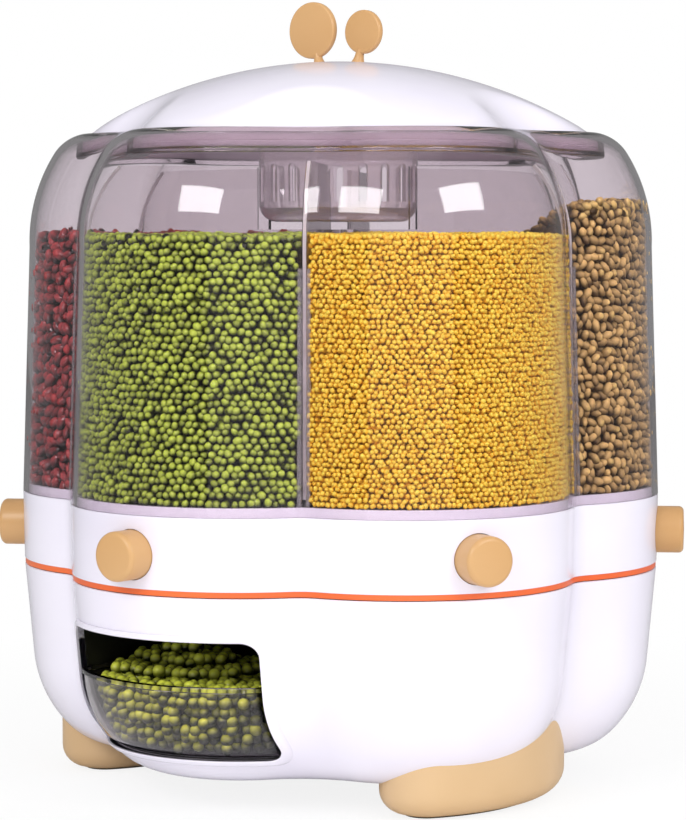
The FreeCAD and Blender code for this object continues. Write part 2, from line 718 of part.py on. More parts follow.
def measuring_cup():
    """A clear cup with rounded corners, whose front follows the bowl."""
    low = OUTLET_LOW_Z + CUP_FLOOR_GAP
    top = low + CUP_HEIGHT
    body = cup_block(0.0, low, top).common(cup_sides(0.0))
    bead = cup_block(-CUP_BEAD, top - CUP_BEAD_H, top)
    room = cup_block(CUP_WALL, low + CUP_WALL, top + 1).common(cup_sides(CUP_WALL))
    return joined([body, bead]).cut(room)


def cup_sides(inset):
    """The volume between the two planes of the cup's slanted lower edges, moved inwards."""
    half = OUTLET_HALF_W - CUP_SIDE_GAP - CUP_SOLE / 2 - inset / math.sqrt(2)
    low = OUTLET_LOW_Z + CUP_FLOOR_GAP + CUP_SOLE / 2 + inset / math.sqrt(2)
    reach = CUP_HEIGHT + 5
    points = []
    for x, z in ((-half, low), (half, low)):
        side = math.copysign(CUP_SOLE + 5, x)
        ends = [Vector(x + math.copysign(reach, x), -BODY_R - 10, low + reach)]
        ends.append(Vector(x - side, -BODY_R - 10, low - CUP_SOLE - 5))
        points += ends if x < 0 else ends[::-1]
    outline = Part.makePolygon(points + points[:1])
    return Part.Face(outline).extrude(Vector(0, BODY_R, 0))


def cup_block(inset, low, high):
    """The cup's outer block moved inwards, trimmed at the front to the bowl's curve."""
    half = OUTLET_HALF_W - CUP_SIDE_GAP - inset
    back = BAY_BACK_Y + CUP_BACK_GAP + inset
    block = box(-half, half, -BODY_R - 5, -back, low, high)
    rear = [
        e
        for e in block.Edges
        if abs(e.tangentAt(e.FirstParameter).z) > 0.9 and e.CenterOfMass.y > -BODY_R
    ]
    block = block.makeFillet(CUP_BACK_R - inset, rear)
    block = block.common(bowl_front(CUP_FRONT_GAP + inset)).removeSplitter()
    front = [
        e
        for e in block.Edges
        if abs(abs(e.CenterOfMass.x) - half) < 0.5
        and e.CenterOfMass.y < -BODY_R / 2
        and e.BoundBox.ZLength > 1.0
    ]
    return block.makeFillet(CUP_FRONT_R - inset, front)


def turntable():
    """The orange plate: bearing recess, hub, six drop sleeves and the springs' posts."""
    plate = lobed_prism(BOWL_RIM_R - 0.1, TURNTABLE_Z, RING_BOTTOM_Z)
    race_top = UPPER_RACE_Z + RACE_T
    boss = tube(RACE_OUT_R + RECESS_EDGE, RACE_IN_R - RECESS_EDGE, TURNTABLE_Z, race_top + 2)
    recess = tube(RACE_OUT_R + SEAT_GAP, RACE_IN_R - SEAT_GAP, TURNTABLE_Z, race_top)
    hub = disc(BUSH_OUT_R + HUB_WALL, 0, 0, TURNTABLE_Z, RING_BOTTOM_Z + HUB_H)
    sleeve = drop_rect(DROP_MARGIN + SLEEVE_WALL, TURNTABLE_Z, SLEEVE_TOP_Z)
    post = box(
        SPRING_POST_R - SPRING_POST_T,
        SPRING_POST_R,
        -SPRING_POST_HALF_W,
        SPRING_POST_HALF_W,
        TURNTABLE_Z,
        SPRING_Z + SPRING_R + 1,
    )
    peg = spring_peg(SPRING_POST_R - 1, SPRING_POST_R + SPRING_PEG_L)
    solids = [plate, boss, hub]
    for piece in (sleeve, post, peg):
        solids += ring_of(piece, at_lobe)
    cuts = [recess, disc(BUSH_OUT_R, 0, 0, 0, RING_TOP_Z)]
    cuts += ring_of(drop_rect(DROP_MARGIN, TURNTABLE_Z, SLEEVE_TOP_Z), at_lobe)
    shank = disc(SCREW_R + SCREW_CLEAR, RING_BOSS_R, 0, TURNTABLE_Z, RING_BOTTOM_Z)
    head = disc(SCREW_HEAD_R + SEAT_GAP, RING_BOSS_R, 0, TURNTABLE_Z, RING_SCREW_Z)
    cuts += ring_of(shank, at_crease) + ring_of(head, at_crease)
    return joined(solids).cut(Part.Compound(cuts))


def spring_peg(r0, r1):
    """A peg that centres the end of a return spring."""
    return radial_rod(SPRING_R - SPRING_WIRE - 0.5, r0, r1, SPRING_Z)


def ring_housing():
    """The white ring: lobed wall, ledge for the floor tray, button guides and screw bosses."""
    outline = Outline(BODY_R - RING_WALL - 0.5, RING_BOTTOM_Z).line(BODY_R - 0.5, RING_BOTTOM_Z)
    outline.line(BODY_R, RING_TOP_Z - 0.8).line(BODY_R - 0.8, RING_TOP_Z)
    outline.line(BODY_R - RING_WALL, RING_TOP_Z).line(BODY_R - RING_WALL, TRAY_SEAT_Z)
    outline.line(BODY_R - RING_WALL - TRAY_LEDGE, TRAY_SEAT_Z)
    outline.line(BODY_R - RING_WALL - 0.2, TRAY_SEAT_Z - 4)
    wall = lobed(outline.face())
    guide_r = BUTTON_R + BUTTON_GAP + GUIDE_WALL
    guide = radial_rod(guide_r, BODY_R - RING_WALL - GUIDE_L, BODY_R - 1, BUTTON_Z)
    boss = disc(BOSS_R, RING_BOSS_R, 0, RING_BOTTOM_Z, TRAY_SEAT_Z - 3)
    body = joined([wall] + ring_of(guide, at_lobe) + ring_of(boss, at_crease))
    bore = radial_rod(BUTTON_R + BUTTON_GAP, BODY_R - RING_WALL - GUIDE_L, BODY_R + 5, BUTTON_Z)
    pilot = disc(PILOT_R, RING_BOSS_R, 0, RING_BOTTOM_Z, RING_BOTTOM_Z + 14)
    return body.cut(Part.Compound(ring_of(bore, at_lobe) + ring_of(pilot, at_crease)))


def floor_surface():
    """The volume under the hopper's floor: a cone, an outer slope and six ridges."""
    low = RING_BOTTOM_Z
    column = lobed_prism(TRAY_R, low, RING_TOP_Z + 20)
    cone_h = (TROUGH_IN_R - CONE_TOP_R) * math.tan(math.radians(CONE_ANGLE))
    cone = Part.makeCone(TROUGH_IN_R, CONE_TOP_R, cone_h, Vector(0, 0, TROUGH_Z))
    slab = lobed_prism(TRAY_R, low, TROUGH_Z)
    far_r = BODY_R + 5
    rise = (far_r - TROUGH_OUT_R) * math.tan(math.radians(FLANK_ANGLE))
    slope = Outline(TROUGH_OUT_R, low).line(far_r, low).line(far_r, TROUGH_Z + rise)
    slope.line(TROUGH_OUT_R, TROUGH_Z)
    flank = slope.face()
    flank.rotate(Vector(), Vector(0, 0, 1), -180 / LOBES)
    flank = flank.revolve(Vector(), Vector(0, 0, 1), 360 / LOBES).common(column)
    half = RIDGE_H / math.tan(math.radians(RIDGE_ANGLE))
    profile = Part.makePolygon(
        [
            Vector(RIDGE_START_R, -half, TROUGH_Z),
            Vector(RIDGE_START_R, half, TROUGH_Z),
            Vector(RIDGE_START_R, 0, TROUGH_Z + RIDGE_H),
            Vector(RIDGE_START_R, -half, TROUGH_Z),
        ]
    )
    ridge = Part.Face(profile).extrude(Vector(BODY_R, 0, 0))
    ridges = [r.common(column) for r in ring_of(ridge, at_crease)]
    return joined([slab, cone] + ring_of(flank, at_crease) + ridges)


def floor_skin(floor):
    """The hopper's floor as an even skin."""
    under = floor.copy()
    under.translate(Vector(0, 0, -TRAY_WALL))
    return floor.cut(under)


def floor_cone(skin):
    """The middle of the floor: a cone with the inner ends of the six ridges."""
    return skin.common(disc(CONE_SEAM_R, 0, 0, RING_BOTTOM_Z, NECK_BOTTOM_Z))


def floor_tray(floor, skin):
    """The outer floor, with a rim, a ledge for the cone, outlet slots and rails for the gates."""
    ledge = tube(
        CONE_SEAM_R + CONE_LEDGE_W,
        CONE_SEAM_R - CONE_LEDGE_W,
        TROUGH_UNDER_Z,
        TROUGH_UNDER_Z + CONE_LEDGE_T,
    )
    rim = lobed_ring(TRAY_R, TRAY_R - TRAY_WALL, TRAY_SEAT_Z, TRAY_LIP_Z)
    solids = [skin.cut(disc(CONE_SEAM_R, 0, 0, RING_BOTTOM_Z, NECK_BOTTOM_Z)), ledge, rim]
    for low_y in (-GATE_HALF_W - FREE_GAP - RAIL_T, GATE_HALF_W + FREE_GAP):
        rail = box(
            TROUGH_IN_R - 2, TROUGH_OUT_R + 6, low_y, low_y + RAIL_T, GATE_Z, TROUGH_Z + 8
        )
        solids += [r.common(floor) for r in ring_of(rail, at_lobe)]
    body = joined(solids)
    guide = radial_rod(BUTTON_R + BUTTON_GAP + GUIDE_WALL + 0.2, EAR_OUT_R, BODY_R, BUTTON_Z)
    cuts = ring_of(drop_rect(0, GATE_TOP_Z, TROUGH_Z + 5), at_lobe) + ring_of(guide, at_lobe)
    return body.cut(Part.Compound(cuts))


def hopper_shell():
    """The clear bell: drafted lobes, round shoulders, the neck's collar and divider grooves."""
    wall = HOPPER_WALL
    outline = Outline(BODY_R, RING_TOP_Z).line(*SHOULDER.begin())
    SHOULDER.draw_in(outline, 0.0, NECK_R)
    outline.line(NECK_R, NECK_LEDGE_Z).line(NECK_LEDGE_R, NECK_LEDGE_Z)
    outline.line(NECK_LEDGE_R, NECK_BOTTOM_Z).line(NECK_R + wall, NECK_BOTTOM_Z)
    outline.line(NECK_R + wall, SHOULDER.height(NECK_R + wall, wall))
    SHOULDER.draw_out(outline, wall, NECK_R + wall)
    outline.line(BODY_R - wall, RING_TOP_Z)
    shell = lobed(outline.face())
    rib_y = PANEL_T / 2 + SEAT_GAP
    rib_in_r = CREASE_R - wall - GROOVE_DEPTH
    low = TRAY_LIP_Z + LID_GAP
    ribs = []
    for y in (-rib_y - GROOVE_RIB_T, rib_y):
        rib = box(rib_in_r, CREASE_R - 1, y, y + GROOVE_RIB_T, low, SHOULDER_Z - 8)
        ribs += ring_of(rib, at_crease)
    full = Outline(BODY_R - 0.5, RING_TOP_Z).line(*SHOULDER.begin(0.5)).line(
        LOBE_OFFSET + 10, SHOULDER_Z
    )
    full.line(LOBE_OFFSET + 10, RING_TOP_Z)
    inside = lobed(full.face())
    return joined([shell] + [r.common(inside) for r in ribs])


def divider_star(floor):
    """Six clear panels on a central tube, cut to the floor and round the basket."""
    edge_r = CREASE_R - HOPPER_WALL - HOPPER_DRAFT * (SHOULDER_Z - RING_TOP_Z) - FREE_GAP
    outline = Outline(HUB_TUBE_R - 1, TROUGH_Z).line(edge_r, TROUGH_Z).line(edge_r, SHOULDER_Z - 4)
    corner = (edge_r - PANEL_CORNER[0], PANEL_TOP_Z - PANEL_CORNER[1])
    outline.arc(corner, (PANEL_TOP_R, PANEL_TOP_Z))
    outline.line(HUB_TUBE_R - 1, PANEL_TOP_Z)
    panel = outline.face().extrude(Vector(0, PANEL_T, 0))
    panel.translate(Vector(0, -PANEL_T / 2, 0))
    pole = disc(HUB_TUBE_R, 0, 0, TROUGH_Z, PANEL_TOP_Z)
    star = joined([pole] + ring_of(panel, at_crease))
    bore = disc(HUB_TUBE_R - HUB_TUBE_WALL, 0, 0, TROUGH_Z, PANEL_TOP_Z)
    room = disc(BASKET_R + BASKET_ROOM, 0, 0, BASKET_BOTTOM_Z - BASKET_ROOM, PANEL_TOP_Z + 1)
    return star.cut(bore).cut(room).cut(floor)


def gate(k):
    """A sliding gate: plate with its window, tongue to the button and spring tab."""
    window_r = SLOT_MID_R + SLOT_W / 2 + GATE_LAP
    out_r = window_r + GATE_WINDOW_W + 3
    plate = box(GATE_IN_R, out_r, -GATE_HALF_W, GATE_HALF_W, GATE_Z, GATE_TOP_Z)
    tongue = box(out_r - 1, TONGUE_TIP_R, -TONGUE_HALF_W, TONGUE_HALF_W, GATE_Z, GATE_TOP_Z)
    tab_w = SPRING_POST_HALF_W
    tab = box(GATE_IN_R, GATE_IN_R + 2, -tab_w, tab_w, SPRING_Z - SPRING_R, GATE_TOP_Z)
    peg = spring_peg(GATE_IN_R - SPRING_PEG_L, GATE_IN_R + 1)
    half = SLOT_L / 2
    window = box(window_r, window_r + GATE_WINDOW_W, -half, half, GATE_Z, GATE_TOP_Z)
    return at_lobe(joined([plate, tongue, tab, peg]).cut(window), k)


def button(k):
    """A hollow push button with a rounded face, a socket for the tongue and two stop ears."""
    cap = radial_rod(BUTTON_R, BUTTON_IN_R, BUTTON_TIP_R, BUTTON_Z)
    rim = [e for e in cap.Edges if e.CenterOfMass.x > BUTTON_TIP_R - 0.1 and e.Length > 20]
    cap = cap.makeChamfer(BUTTON_EDGE, rim)
    hollow = radial_rod(
        BUTTON_R - BUTTON_WALL, BUTTON_IN_R, BUTTON_TIP_R - BUTTON_WALL, BUTTON_Z
    )
    neck = box(
        EAR_OUT_R - EAR_T,
        BUTTON_IN_R + 4,
        -NECK_HALF_W,
        NECK_HALF_W,
        BUTTON_Z - NECK_HALF_H,
        BUTTON_Z + NECK_HALF_H,
    )
    ears = box(
        EAR_OUT_R - EAR_T,
        EAR_OUT_R,
        -EAR_HALF_W,
        EAR_HALF_W,
        BUTTON_Z - EAR_HALF_H,
        BUTTON_Z + EAR_HALF_H,
    )
    core_w = TONGUE_HALF_W + 2
    core = box(BUTTON_IN_R, BUTTON_TIP_R - 1, -core_w, core_w, GATE_Z - 2, GATE_TOP_Z + 2)
    socket = box(
        EAR_OUT_R - 5,
        TONGUE_TIP_R + SEAT_GAP,
        -TONGUE_HALF_W - SEAT_GAP,
        TONGUE_HALF_W + SEAT_GAP,
        GATE_Z - SEAT_GAP,
        GATE_TOP_Z + SEAT_GAP,
    )
    body = joined([cap.cut(hollow), neck.cut(hollow), ears, core]).cut(socket)
    return at_lobe(body, k)


def gate_springs():
    """Six return springs, each between its post and its gate."""
    spring = radial_rod(SPRING_R, SPRING_POST_R, GATE_IN_R, SPRING_Z)
    bore = radial_rod(SPRING_R - SPRING_WIRE, SPRING_POST_R, GATE_IN_R, SPRING_Z)
    return Part.Compound(ring_of(spring.cut(bore), at_lobe))


def screw(x, y, z, length, head_down=False):
    """A pan-head screw; its head stands on the face at z, or hangs under it."""
    if head_down:
        head = disc(SCREW_HEAD_R, x, y, z - SCREW_HEAD_T, z)
        return joined([head, disc(SCREW_R, x, y, z, z + length)])
    head = disc(SCREW_HEAD_R, x, y, z, z + SCREW_HEAD_T)
    return joined([head, disc(SCREW_R, x, y, z - length, z)])


def roller_bearing():
    """The cage ring and its rollers."""
    cage = tube(RACE_OUT_R + 0.4, RACE_IN_R - 0.4, ROLLER_Z - CAGE_T / 2, ROLLER_Z + CAGE_T / 2)
    mid = (RACE_IN_R + RACE_OUT_R) / 2
    half = ROLLER_L / 2
    ends = half + SEAT_GAP
    side = ROLLER_R + SEAT_GAP
    pocket = box(mid - ends, mid + ends, -side, side, 0, RING_TOP_Z)
    roller = radial_rod(ROLLER_R, mid - half, mid + half, ROLLER_Z)
    pockets = []
    rollers = []
    for k in range(ROLLERS):
        turn = k * LOBES / ROLLERS
        pockets.append(at_lobe(pocket, turn))
        rollers.append(at_lobe(roller, turn))
    return cage.cut(Part.Compound(pockets)), Part.Compound(rollers)


def at_third(shape, k):
    """Turn a shape drawn along +X to every other lobe, for three pieces in a ring."""
    return at_lobe(shape, 2 * k)


def lid_frame():
    """The lid's clear lower part: lobed skirt, top plate and the basket's hooks."""
    outline = Outline(LID_R, LID_SEAT_Z).line(LID_R, LID_TOP_Z - LID_EDGE[1])
    outline.line(LID_R - LID_EDGE[0], LID_TOP_Z).line(LID_PLATE_R, LID_TOP_Z)
    outline.line(LID_PLATE_R, LID_PLATE_Z).line(LID_R - LID_WALL, LID_PLATE_Z)
    outline.line(LID_R - LID_WALL, LID_SEAT_Z)
    wall = lobed(outline.face())
    plate = lobed_prism(LID_PLATE_R, LID_PLATE_Z, LID_TOP_Z)
    back_r = FLANGE_R + SEAT_GAP
    low = LID_PLATE_Z - FLANGE_T - SEAT_GAP - HOOK_T
    half = HOOK_W / 2
    hook = box(back_r, back_r + HOOK_T, -half, half, low, LID_PLATE_Z)
    toe = box(BASKET_R + SEAT_GAP, back_r + HOOK_T, -half, half, low, low + HOOK_T)
    hook = joined([hook, toe]).cut(disc(BASKET_R + SEAT_GAP, 0, 0, low, LID_PLATE_Z))
    holes = ring_of(
        disc(SCREW_R + SCREW_CLEAR, LID_SCREW_R, 0, LID_PLATE_Z, LID_TOP_Z), at_third, LID_SCREWS
    )
    return joined([wall, plate] + ring_of(hook, at_third, HOOKS)).cut(Part.Compound(holes))


def lid_seal():
    """A silicone ring under the skirt, with an inner leg that grips it."""
    low = NECK_LEDGE_Z + FREE_GAP
    top = LID_SEAT_Z + SEAL_H
    outline = Outline(LID_R, low).line(LID_R, LID_SEAT_Z).line(LID_R - LID_WALL, LID_SEAT_Z)
    outline.line(LID_R - LID_WALL, top).line(LID_R - SEAL_W, top).line(LID_R - SEAL_W, low)
    return lobed(outline.face())


def dome_solid(offset):
    """The dome's volume, moved inwards by an offset: a spherical cap cut by a lobed slope."""
    slope = math.tan(math.radians(DOME_VALLEY_ANGLE))
    edge_r = DOME_EDGE_R - offset / math.sin(math.radians(DOME_VALLEY_ANGLE))
    top_z = LID_TOP_Z + (edge_r - LID_PLATE_R) * slope
    outline = Outline(edge_r, LID_TOP_Z).line(LID_PLATE_R, top_z).line(LID_PLATE_R, LID_TOP_Z)
    core = lobed_prism(LID_PLATE_R, LID_TOP_Z, top_z)
    cap = disc(LID_PLATE_R - 15, 0, 0, LID_TOP_Z, DOME_TOP_Z)
    return joined([lobed(outline.face()), core, cap])


def dome_sphere(radius):
    """A sphere about the dome's centre, with its poles at the sides, clear of the dome."""
    return Part.makeSphere(radius, DOME_CENTRE, Vector(0, 1, 0))


def lid_dome():
    """The white dome, lobed at its edge and round at its top, with bosses for its screws."""
    outer = dome_solid(0.0).common(dome_sphere(DOME_SPHERE_R))
    inner = dome_solid(LID_WALL).common(dome_sphere(DOME_SPHERE_R - LID_WALL))
    boss = disc(BOSS_R, LID_SCREW_R, 0, LID_TOP_Z, DOME_TOP_Z).common(outer)
    pilot = disc(PILOT_R, LID_SCREW_R, 0, LID_TOP_Z, LID_TOP_Z + 12)
    cuts = ring_of(pilot, at_third, LID_SCREWS)
    cuts += [disc(SPIGOT_R + SEAT_GAP, x, 0, LID_TOP_Z, DOME_TOP_Z) for x in (-ANTENNA_X, ANTENNA_X)]
    return joined([outer.cut(inner)] + ring_of(boss, at_third, LID_SCREWS)).cut(Part.Compound(cuts))


def antenna(x, lean, disc_r, disc_z):
    """A flat round disc on a short stem that stands on the dome, with a spigot through it."""
    foot_z = DOME_CENTRE.z + math.sqrt(DOME_SPHERE_R**2 - ANTENNA_X**2)
    plate = Part.makeCylinder(
        disc_r, ANTENNA_T, Vector(0, ANTENNA_T / 2, disc_z), Vector(0, -1, 0)
    )
    plate = plate.makeChamfer(ANTENNA_EDGE, [e for e in plate.Edges if e.Length > disc_r])
    stem_z = foot_z - 1.0
    stem = Part.makeCone(
        STEM_R, STEM_TIP_R, disc_z - disc_r + ANTENNA_T - stem_z, Vector(0, 0, stem_z)
    )
    whole = joined([plate, stem])
    whole.rotate(Vector(0, 0, foot_z), Vector(0, 1, 0), lean)
    whole.translate(Vector(x, 0, 0))
    whole = whole.cut(dome_sphere(DOME_SPHERE_R))
    return joined([whole, disc(SPIGOT_R, x, 0, foot_z - SPIGOT_L, foot_z + STEM_R)])


def desiccant_basket():
    """A clear hanging cup with upright slots, a flange and an open top."""
    low = BASKET_BOTTOM_Z
    body = disc(BASKET_R, 0, 0, low, LID_PLATE_Z)
    heel = [e for e in body.Edges if e.CenterOfMass.z < low + 0.1 and e.Length > 20]
    body = body.makeFillet(BASKET_CORNER_R, heel)
    inner_r = BASKET_R - BASKET_WALL
    room = disc(inner_r, 0, 0, low + BASKET_WALL, LID_PLATE_Z)
    heel = [e for e in room.Edges if e.CenterOfMass.z < low + BASKET_WALL + 0.1 and e.Length > 20]
    room = room.makeChamfer(BASKET_CORNER_R * 0.6, heel)
    flange = tube(FLANGE_R, BASKET_R - 1, LID_PLATE_Z - FLANGE_T, LID_PLATE_Z)
    half = BASKET_SLOT_W / 2
    slot = box(inner_r - 4, BASKET_R + 2, -half, half, BASKET_SLOT_LOW_Z, BASKET_SLOT_HIGH_Z - half)
    top = radial_rod(half, inner_r - 4, BASKET_R + 2, BASKET_SLOT_HIGH_Z - half)
    cuts = []
    for k in range(BASKET_SLOTS):
        cuts.append(at_lobe(joined([slot, top]), k * LOBES / BASKET_SLOTS))
    return joined([body.cut(room), flange]).cut(Part.Compound(cuts))


def main():
    """Build and write every sub-part."""
    os.makedirs("parts", exist_ok=True)
    outer = bowl_solid(0.0)
    inner = bowl_solid(BOWL_WALL)
    save(base_shell(outer, inner), "base_shell")
    save(base_deck(), "base_deck")
    save(cup_bay(bowl_solid(BOWL_WALL + 0.2)), "cup_bay")
    save(drop_chute(), "drop_chute")
    places = [
        ("foot_left", -FOOT_X, FOOT_Y, False),
        ("foot_right", FOOT_X, FOOT_Y, False),
        ("foot_rear", 0, REAR_FOOT_Y, True),
    ]
    seat = bowl_solid(-0.05)
    for name, x, y, along_x in places:
        save(foot(x, y, along_x, seat), name)
    save(Part.Compound([foot_pad(x, y, along_x) for _, x, y, along_x in places]), "foot_pads")
    save(Part.Compound([screw(x, y, FLOOR_Z, 10) for x, y in foot_screw_places()]), "foot_screws")
    deck_screw = screw(DECK_BOSS_R, 0, DECK_TOP_Z, 12)
    save(Part.Compound(ring_of(deck_screw, at_crease)), "deck_screws")
    save(tube(RACE_OUT_R, RACE_IN_R, RACE_Z, RACE_Z + RACE_T), "lower_race")
    washer = disc(WASHER_R, 0, 0, WASHER_Z, WASHER_Z + WASHER_T)
    save(washer.cut(disc(SCREW_R + SCREW_CLEAR, 0, 0, 0, RING_TOP_Z + 20)), "thrust_washer")
    save(screw(0, 0, WASHER_Z + WASHER_T, 14), "pivot_screw")

    cage, rollers = roller_bearing()
    save(cage, "roller_cage")
    save(rollers, "rollers")

    save(turntable(), "turntable")
    save(tube(RACE_OUT_R, RACE_IN_R, UPPER_RACE_Z, UPPER_RACE_Z + RACE_T), "upper_race")
    bush = tube(BUSH_OUT_R, PIVOT_R + BUSH_CLEARANCE, TURNTABLE_Z, RING_BOTTOM_Z + HUB_H)
    save(bush, "pivot_bush")
    save(ring_housing(), "ring_housing")
    floor = floor_surface()
    skin = floor_skin(floor)
    save(floor_tray(floor, skin), "floor_tray")
    save(floor_cone(skin), "floor_cone")
    save(hopper_shell(), "hopper_shell")
    save(divider_star(floor), "divider_star")
    ring_screw = screw(RING_BOSS_R, 0, RING_SCREW_Z, 11, head_down=True)
    save(Part.Compound(ring_of(ring_screw, at_crease)), "ring_screws")
    save(gate_springs(), "gate_springs")
    for k in range(LOBES):
        save(gate(k), "gate_%d" % (k + 1))
        save(button(k), "button_%d" % (k + 1))

    save(lid_frame(), "lid_frame")
    save(lid_seal(), "lid_seal")
    save(lid_dome(), "lid_dome")
    lid_screw = screw(LID_SCREW_R, 0, LID_PLATE_Z, 10, head_down=True)
    save(Part.Compound(ring_of(lid_screw, at_third, LID_SCREWS)), "lid_screws")
    save(antenna(-ANTENNA_X, -ANTENNA_LEAN, LARGE_DISC_R, LARGE_DISC_Z), "antenna_large")
    save(antenna(ANTENNA_X, ANTENNA_LEAN, SMALL_DISC_R, SMALL_DISC_Z), "antenna_small")
    save(desiccant_basket(), "desiccant_basket")
    save(measuring_cup(), "measuring_cup")


main()
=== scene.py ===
import json
import logging
import math
from dataclasses import dataclass
from enum import Enum
from typing import Sequence

import bpy
import numpy as np
from mathutils import Euler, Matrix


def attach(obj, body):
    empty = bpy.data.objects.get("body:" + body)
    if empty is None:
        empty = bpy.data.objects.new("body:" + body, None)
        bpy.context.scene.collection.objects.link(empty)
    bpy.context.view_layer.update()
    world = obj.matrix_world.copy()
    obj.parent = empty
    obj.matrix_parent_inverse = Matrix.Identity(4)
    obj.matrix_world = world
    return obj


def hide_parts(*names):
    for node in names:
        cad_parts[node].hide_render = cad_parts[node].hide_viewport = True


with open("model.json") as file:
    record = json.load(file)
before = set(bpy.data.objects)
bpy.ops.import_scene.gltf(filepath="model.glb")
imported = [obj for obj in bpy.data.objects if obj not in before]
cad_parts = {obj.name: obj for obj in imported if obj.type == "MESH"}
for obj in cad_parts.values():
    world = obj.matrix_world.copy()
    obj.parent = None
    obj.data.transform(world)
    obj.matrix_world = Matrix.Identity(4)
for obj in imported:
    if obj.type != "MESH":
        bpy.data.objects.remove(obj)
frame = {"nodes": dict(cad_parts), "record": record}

# Rotating grain dispenser: smooth shells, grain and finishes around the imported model.
# Shapes are worked out in millimetres, +Z up, outlet towards -Y, and stored in metres.

LOG = logging.getLogger("dispenser")
Array = np.ndarray
Piece = bpy.types.Object
Tree = bpy.types.NodeTree
Socket = bpy.types.NodeSocket
Node = bpy.types.Node
Random = np.random.Generator
MM = 0.001
TURN = 2 * math.pi
SEED = 7
SHARP = 35.0  # edges that turn by more degrees than this stay sharp


# Finishes


def linear(code: str) -> tuple[float, float, float, float]:
    """Turn an sRGB hex colour into linear RGBA.

    Args:
        code: Six hex digits.

    Returns:
        Linear red, green, blue and an alpha of 1.
    """
    values = [int(code[i : i + 2], 16) / 255 for i in (0, 2, 4)]
    red, green, blue = [v / 12.92 if v <= 0.04045 else ((v + 0.055) / 1.055) ** 2.4 for v in values]
    return (red, green, blue, 1.0)


def add(tree: Tree, kind: str, settings: dict | None = None, links: dict | None = None) -> Node:
    """Add one node with its settings and links.

    Args:
        tree: The nodes to add to.
        kind: Blender's name of the node, after "ShaderNode".
        settings: Values by attribute name, or by input socket name or number.
        links: By input socket name or number, an output socket, or a node for its first one.

    Returns:
        The new node.
    """
    node = tree.nodes.new("ShaderNode" + kind)
    for key, value in (settings or {}).items():
        if isinstance(key, str) and hasattr(node, key):
            setattr(node, key, value)
        else:
            node.inputs[key].default_value = value
    for key, output in (links or {}).items():
        tree.links.new(getattr(output, "outputs", [output])[0], node.inputs[key])
    return node


def blank(name: str) -> bpy.types.Material:
    """Make a material with an empty node tree.

    Args:
        name: Its name.

    Returns:
        The material.
    """
    material = bpy.data.materials.new(name)
    material.use_nodes = True
    material.node_tree.nodes.clear()
    return material


def per_metre(size_mm: float) -> float:
    """The scale of a texture on Object coordinates whose features are size_mm across."""
    return 1000.0 / size_mm


def spread(tree: Tree, factor: Node, low: str, high: str, edge: float = 0.3) -> Socket:
    """Colours from low to high over the middle of a 0 to 1 pattern.

    Args:
        tree: The material's nodes.
        factor: The pattern.
        low: Hex colour where the pattern is low.
        high: Hex colour where it is high.
        edge: Where the low colour ends; the high one starts as far from 1.

    Returns:
        The colour socket.
    """
    ramp = add(tree, "ValToRGB", {}, {"Fac": factor})
    first, last = ramp.color_ramp.elements
    first.position, last.position = edge, 1 - edge
    first.color, last.color = linear(low), linear(high)
    return ramp.outputs["Color"]


def lamplit(tree: Tree, shader: Node, tint: Sequence[float]) -> Node:
    """Let lamplight pass a shader: its shadow rays see plain tinted clearness.

    Args:
        tree: The material's nodes.
        shader: What every other ray sees.
        tint: Linear RGBA of the light that passes.

    Returns:
        The shader.
    """
    passing = add(tree, "BsdfTransparent", {"Color": tint})
    lamps = add(tree, "LightPath").outputs["Is Shadow Ray"]
    return add(tree, "MixShader", {}, {0: lamps, 1: shader, 2: passing})


@dataclass(frozen=True)
class Surface:
    """What all finishes share.

    Attributes:
        name: The real material and how it was made.
        low: Hex colour where its pattern is low.
        high: Hex colour where it is high.
    """

    name: str
    low: str
    high: str

    def shader(self, tree: Tree, place: Socket) -> Node:
        """Add the finish's own nodes.

        Args:
            tree: The material's nodes.
            place: Object coordinates.

        Returns:
            The shader.
        """
        raise NotImplementedError

    def material(self) -> bpy.types.Material:
        """Make the node material, once.

        Returns:
            The material.
        """
        made = bpy.data.materials.get(self.name)
        if made is None:
            made = blank(self.name)
            tree = made.node_tree
            place = add(tree, "TexCoord").outputs["Object"]
            add(tree, "OutputMaterial", {}, {"Surface": self.shader(tree, place)})
        return made


@dataclass(frozen=True)
class MouldedPlastic(Surface):
    """Opaque injection-moulded plastic, such as ABS or polypropylene.

    A polished mould leaves a glossy skin with a faint orange peel, and the pigment drifts a
    little over the width of a hand. A thin moulding lets a share of lamplight through.
    """

    roughness: float = 0.22
    coat: float = 0.0
    peel_mm: float = 2.5
    peel: float = 0.02
    through: float = 0.0

    def shader(self, tree: Tree, place: Socket) -> Node:
        """Add the plastic's nodes; Args and Returns as in Surface."""
        drift = add(tree, "TexNoise", {"Scale": per_metre(60), "Detail": 2.0}, {"Vector": place})
        wear = add(tree, "TexNoise", {"Scale": per_metre(9), "Detail": 4.0}, {"Vector": place})
        span = {"To Min": self.roughness * 0.8, "To Max": self.roughness * 1.25}
        rough = add(tree, "MapRange", span, {"Value": wear})
        peel = add(tree, "TexNoise", {"Scale": per_metre(self.peel_mm)}, {"Vector": place})
        bump = add(tree, "Bump", {"Strength": self.peel, "Distance": 0.0004}, {"Height": peel})
        settings = {"IOR": 1.53, "Coat Weight": self.coat, "Coat Roughness": 0.06}
        links = {
            "Base Color": spread(tree, drift, self.low, self.high),
            "Roughness": rough,
            "Normal": bump,
        }
        skin = add(tree, "BsdfPrincipled", settings, links)
        return lamplit(tree, skin, (self.through,) * 3 + (1.0,)) if self.through else skin


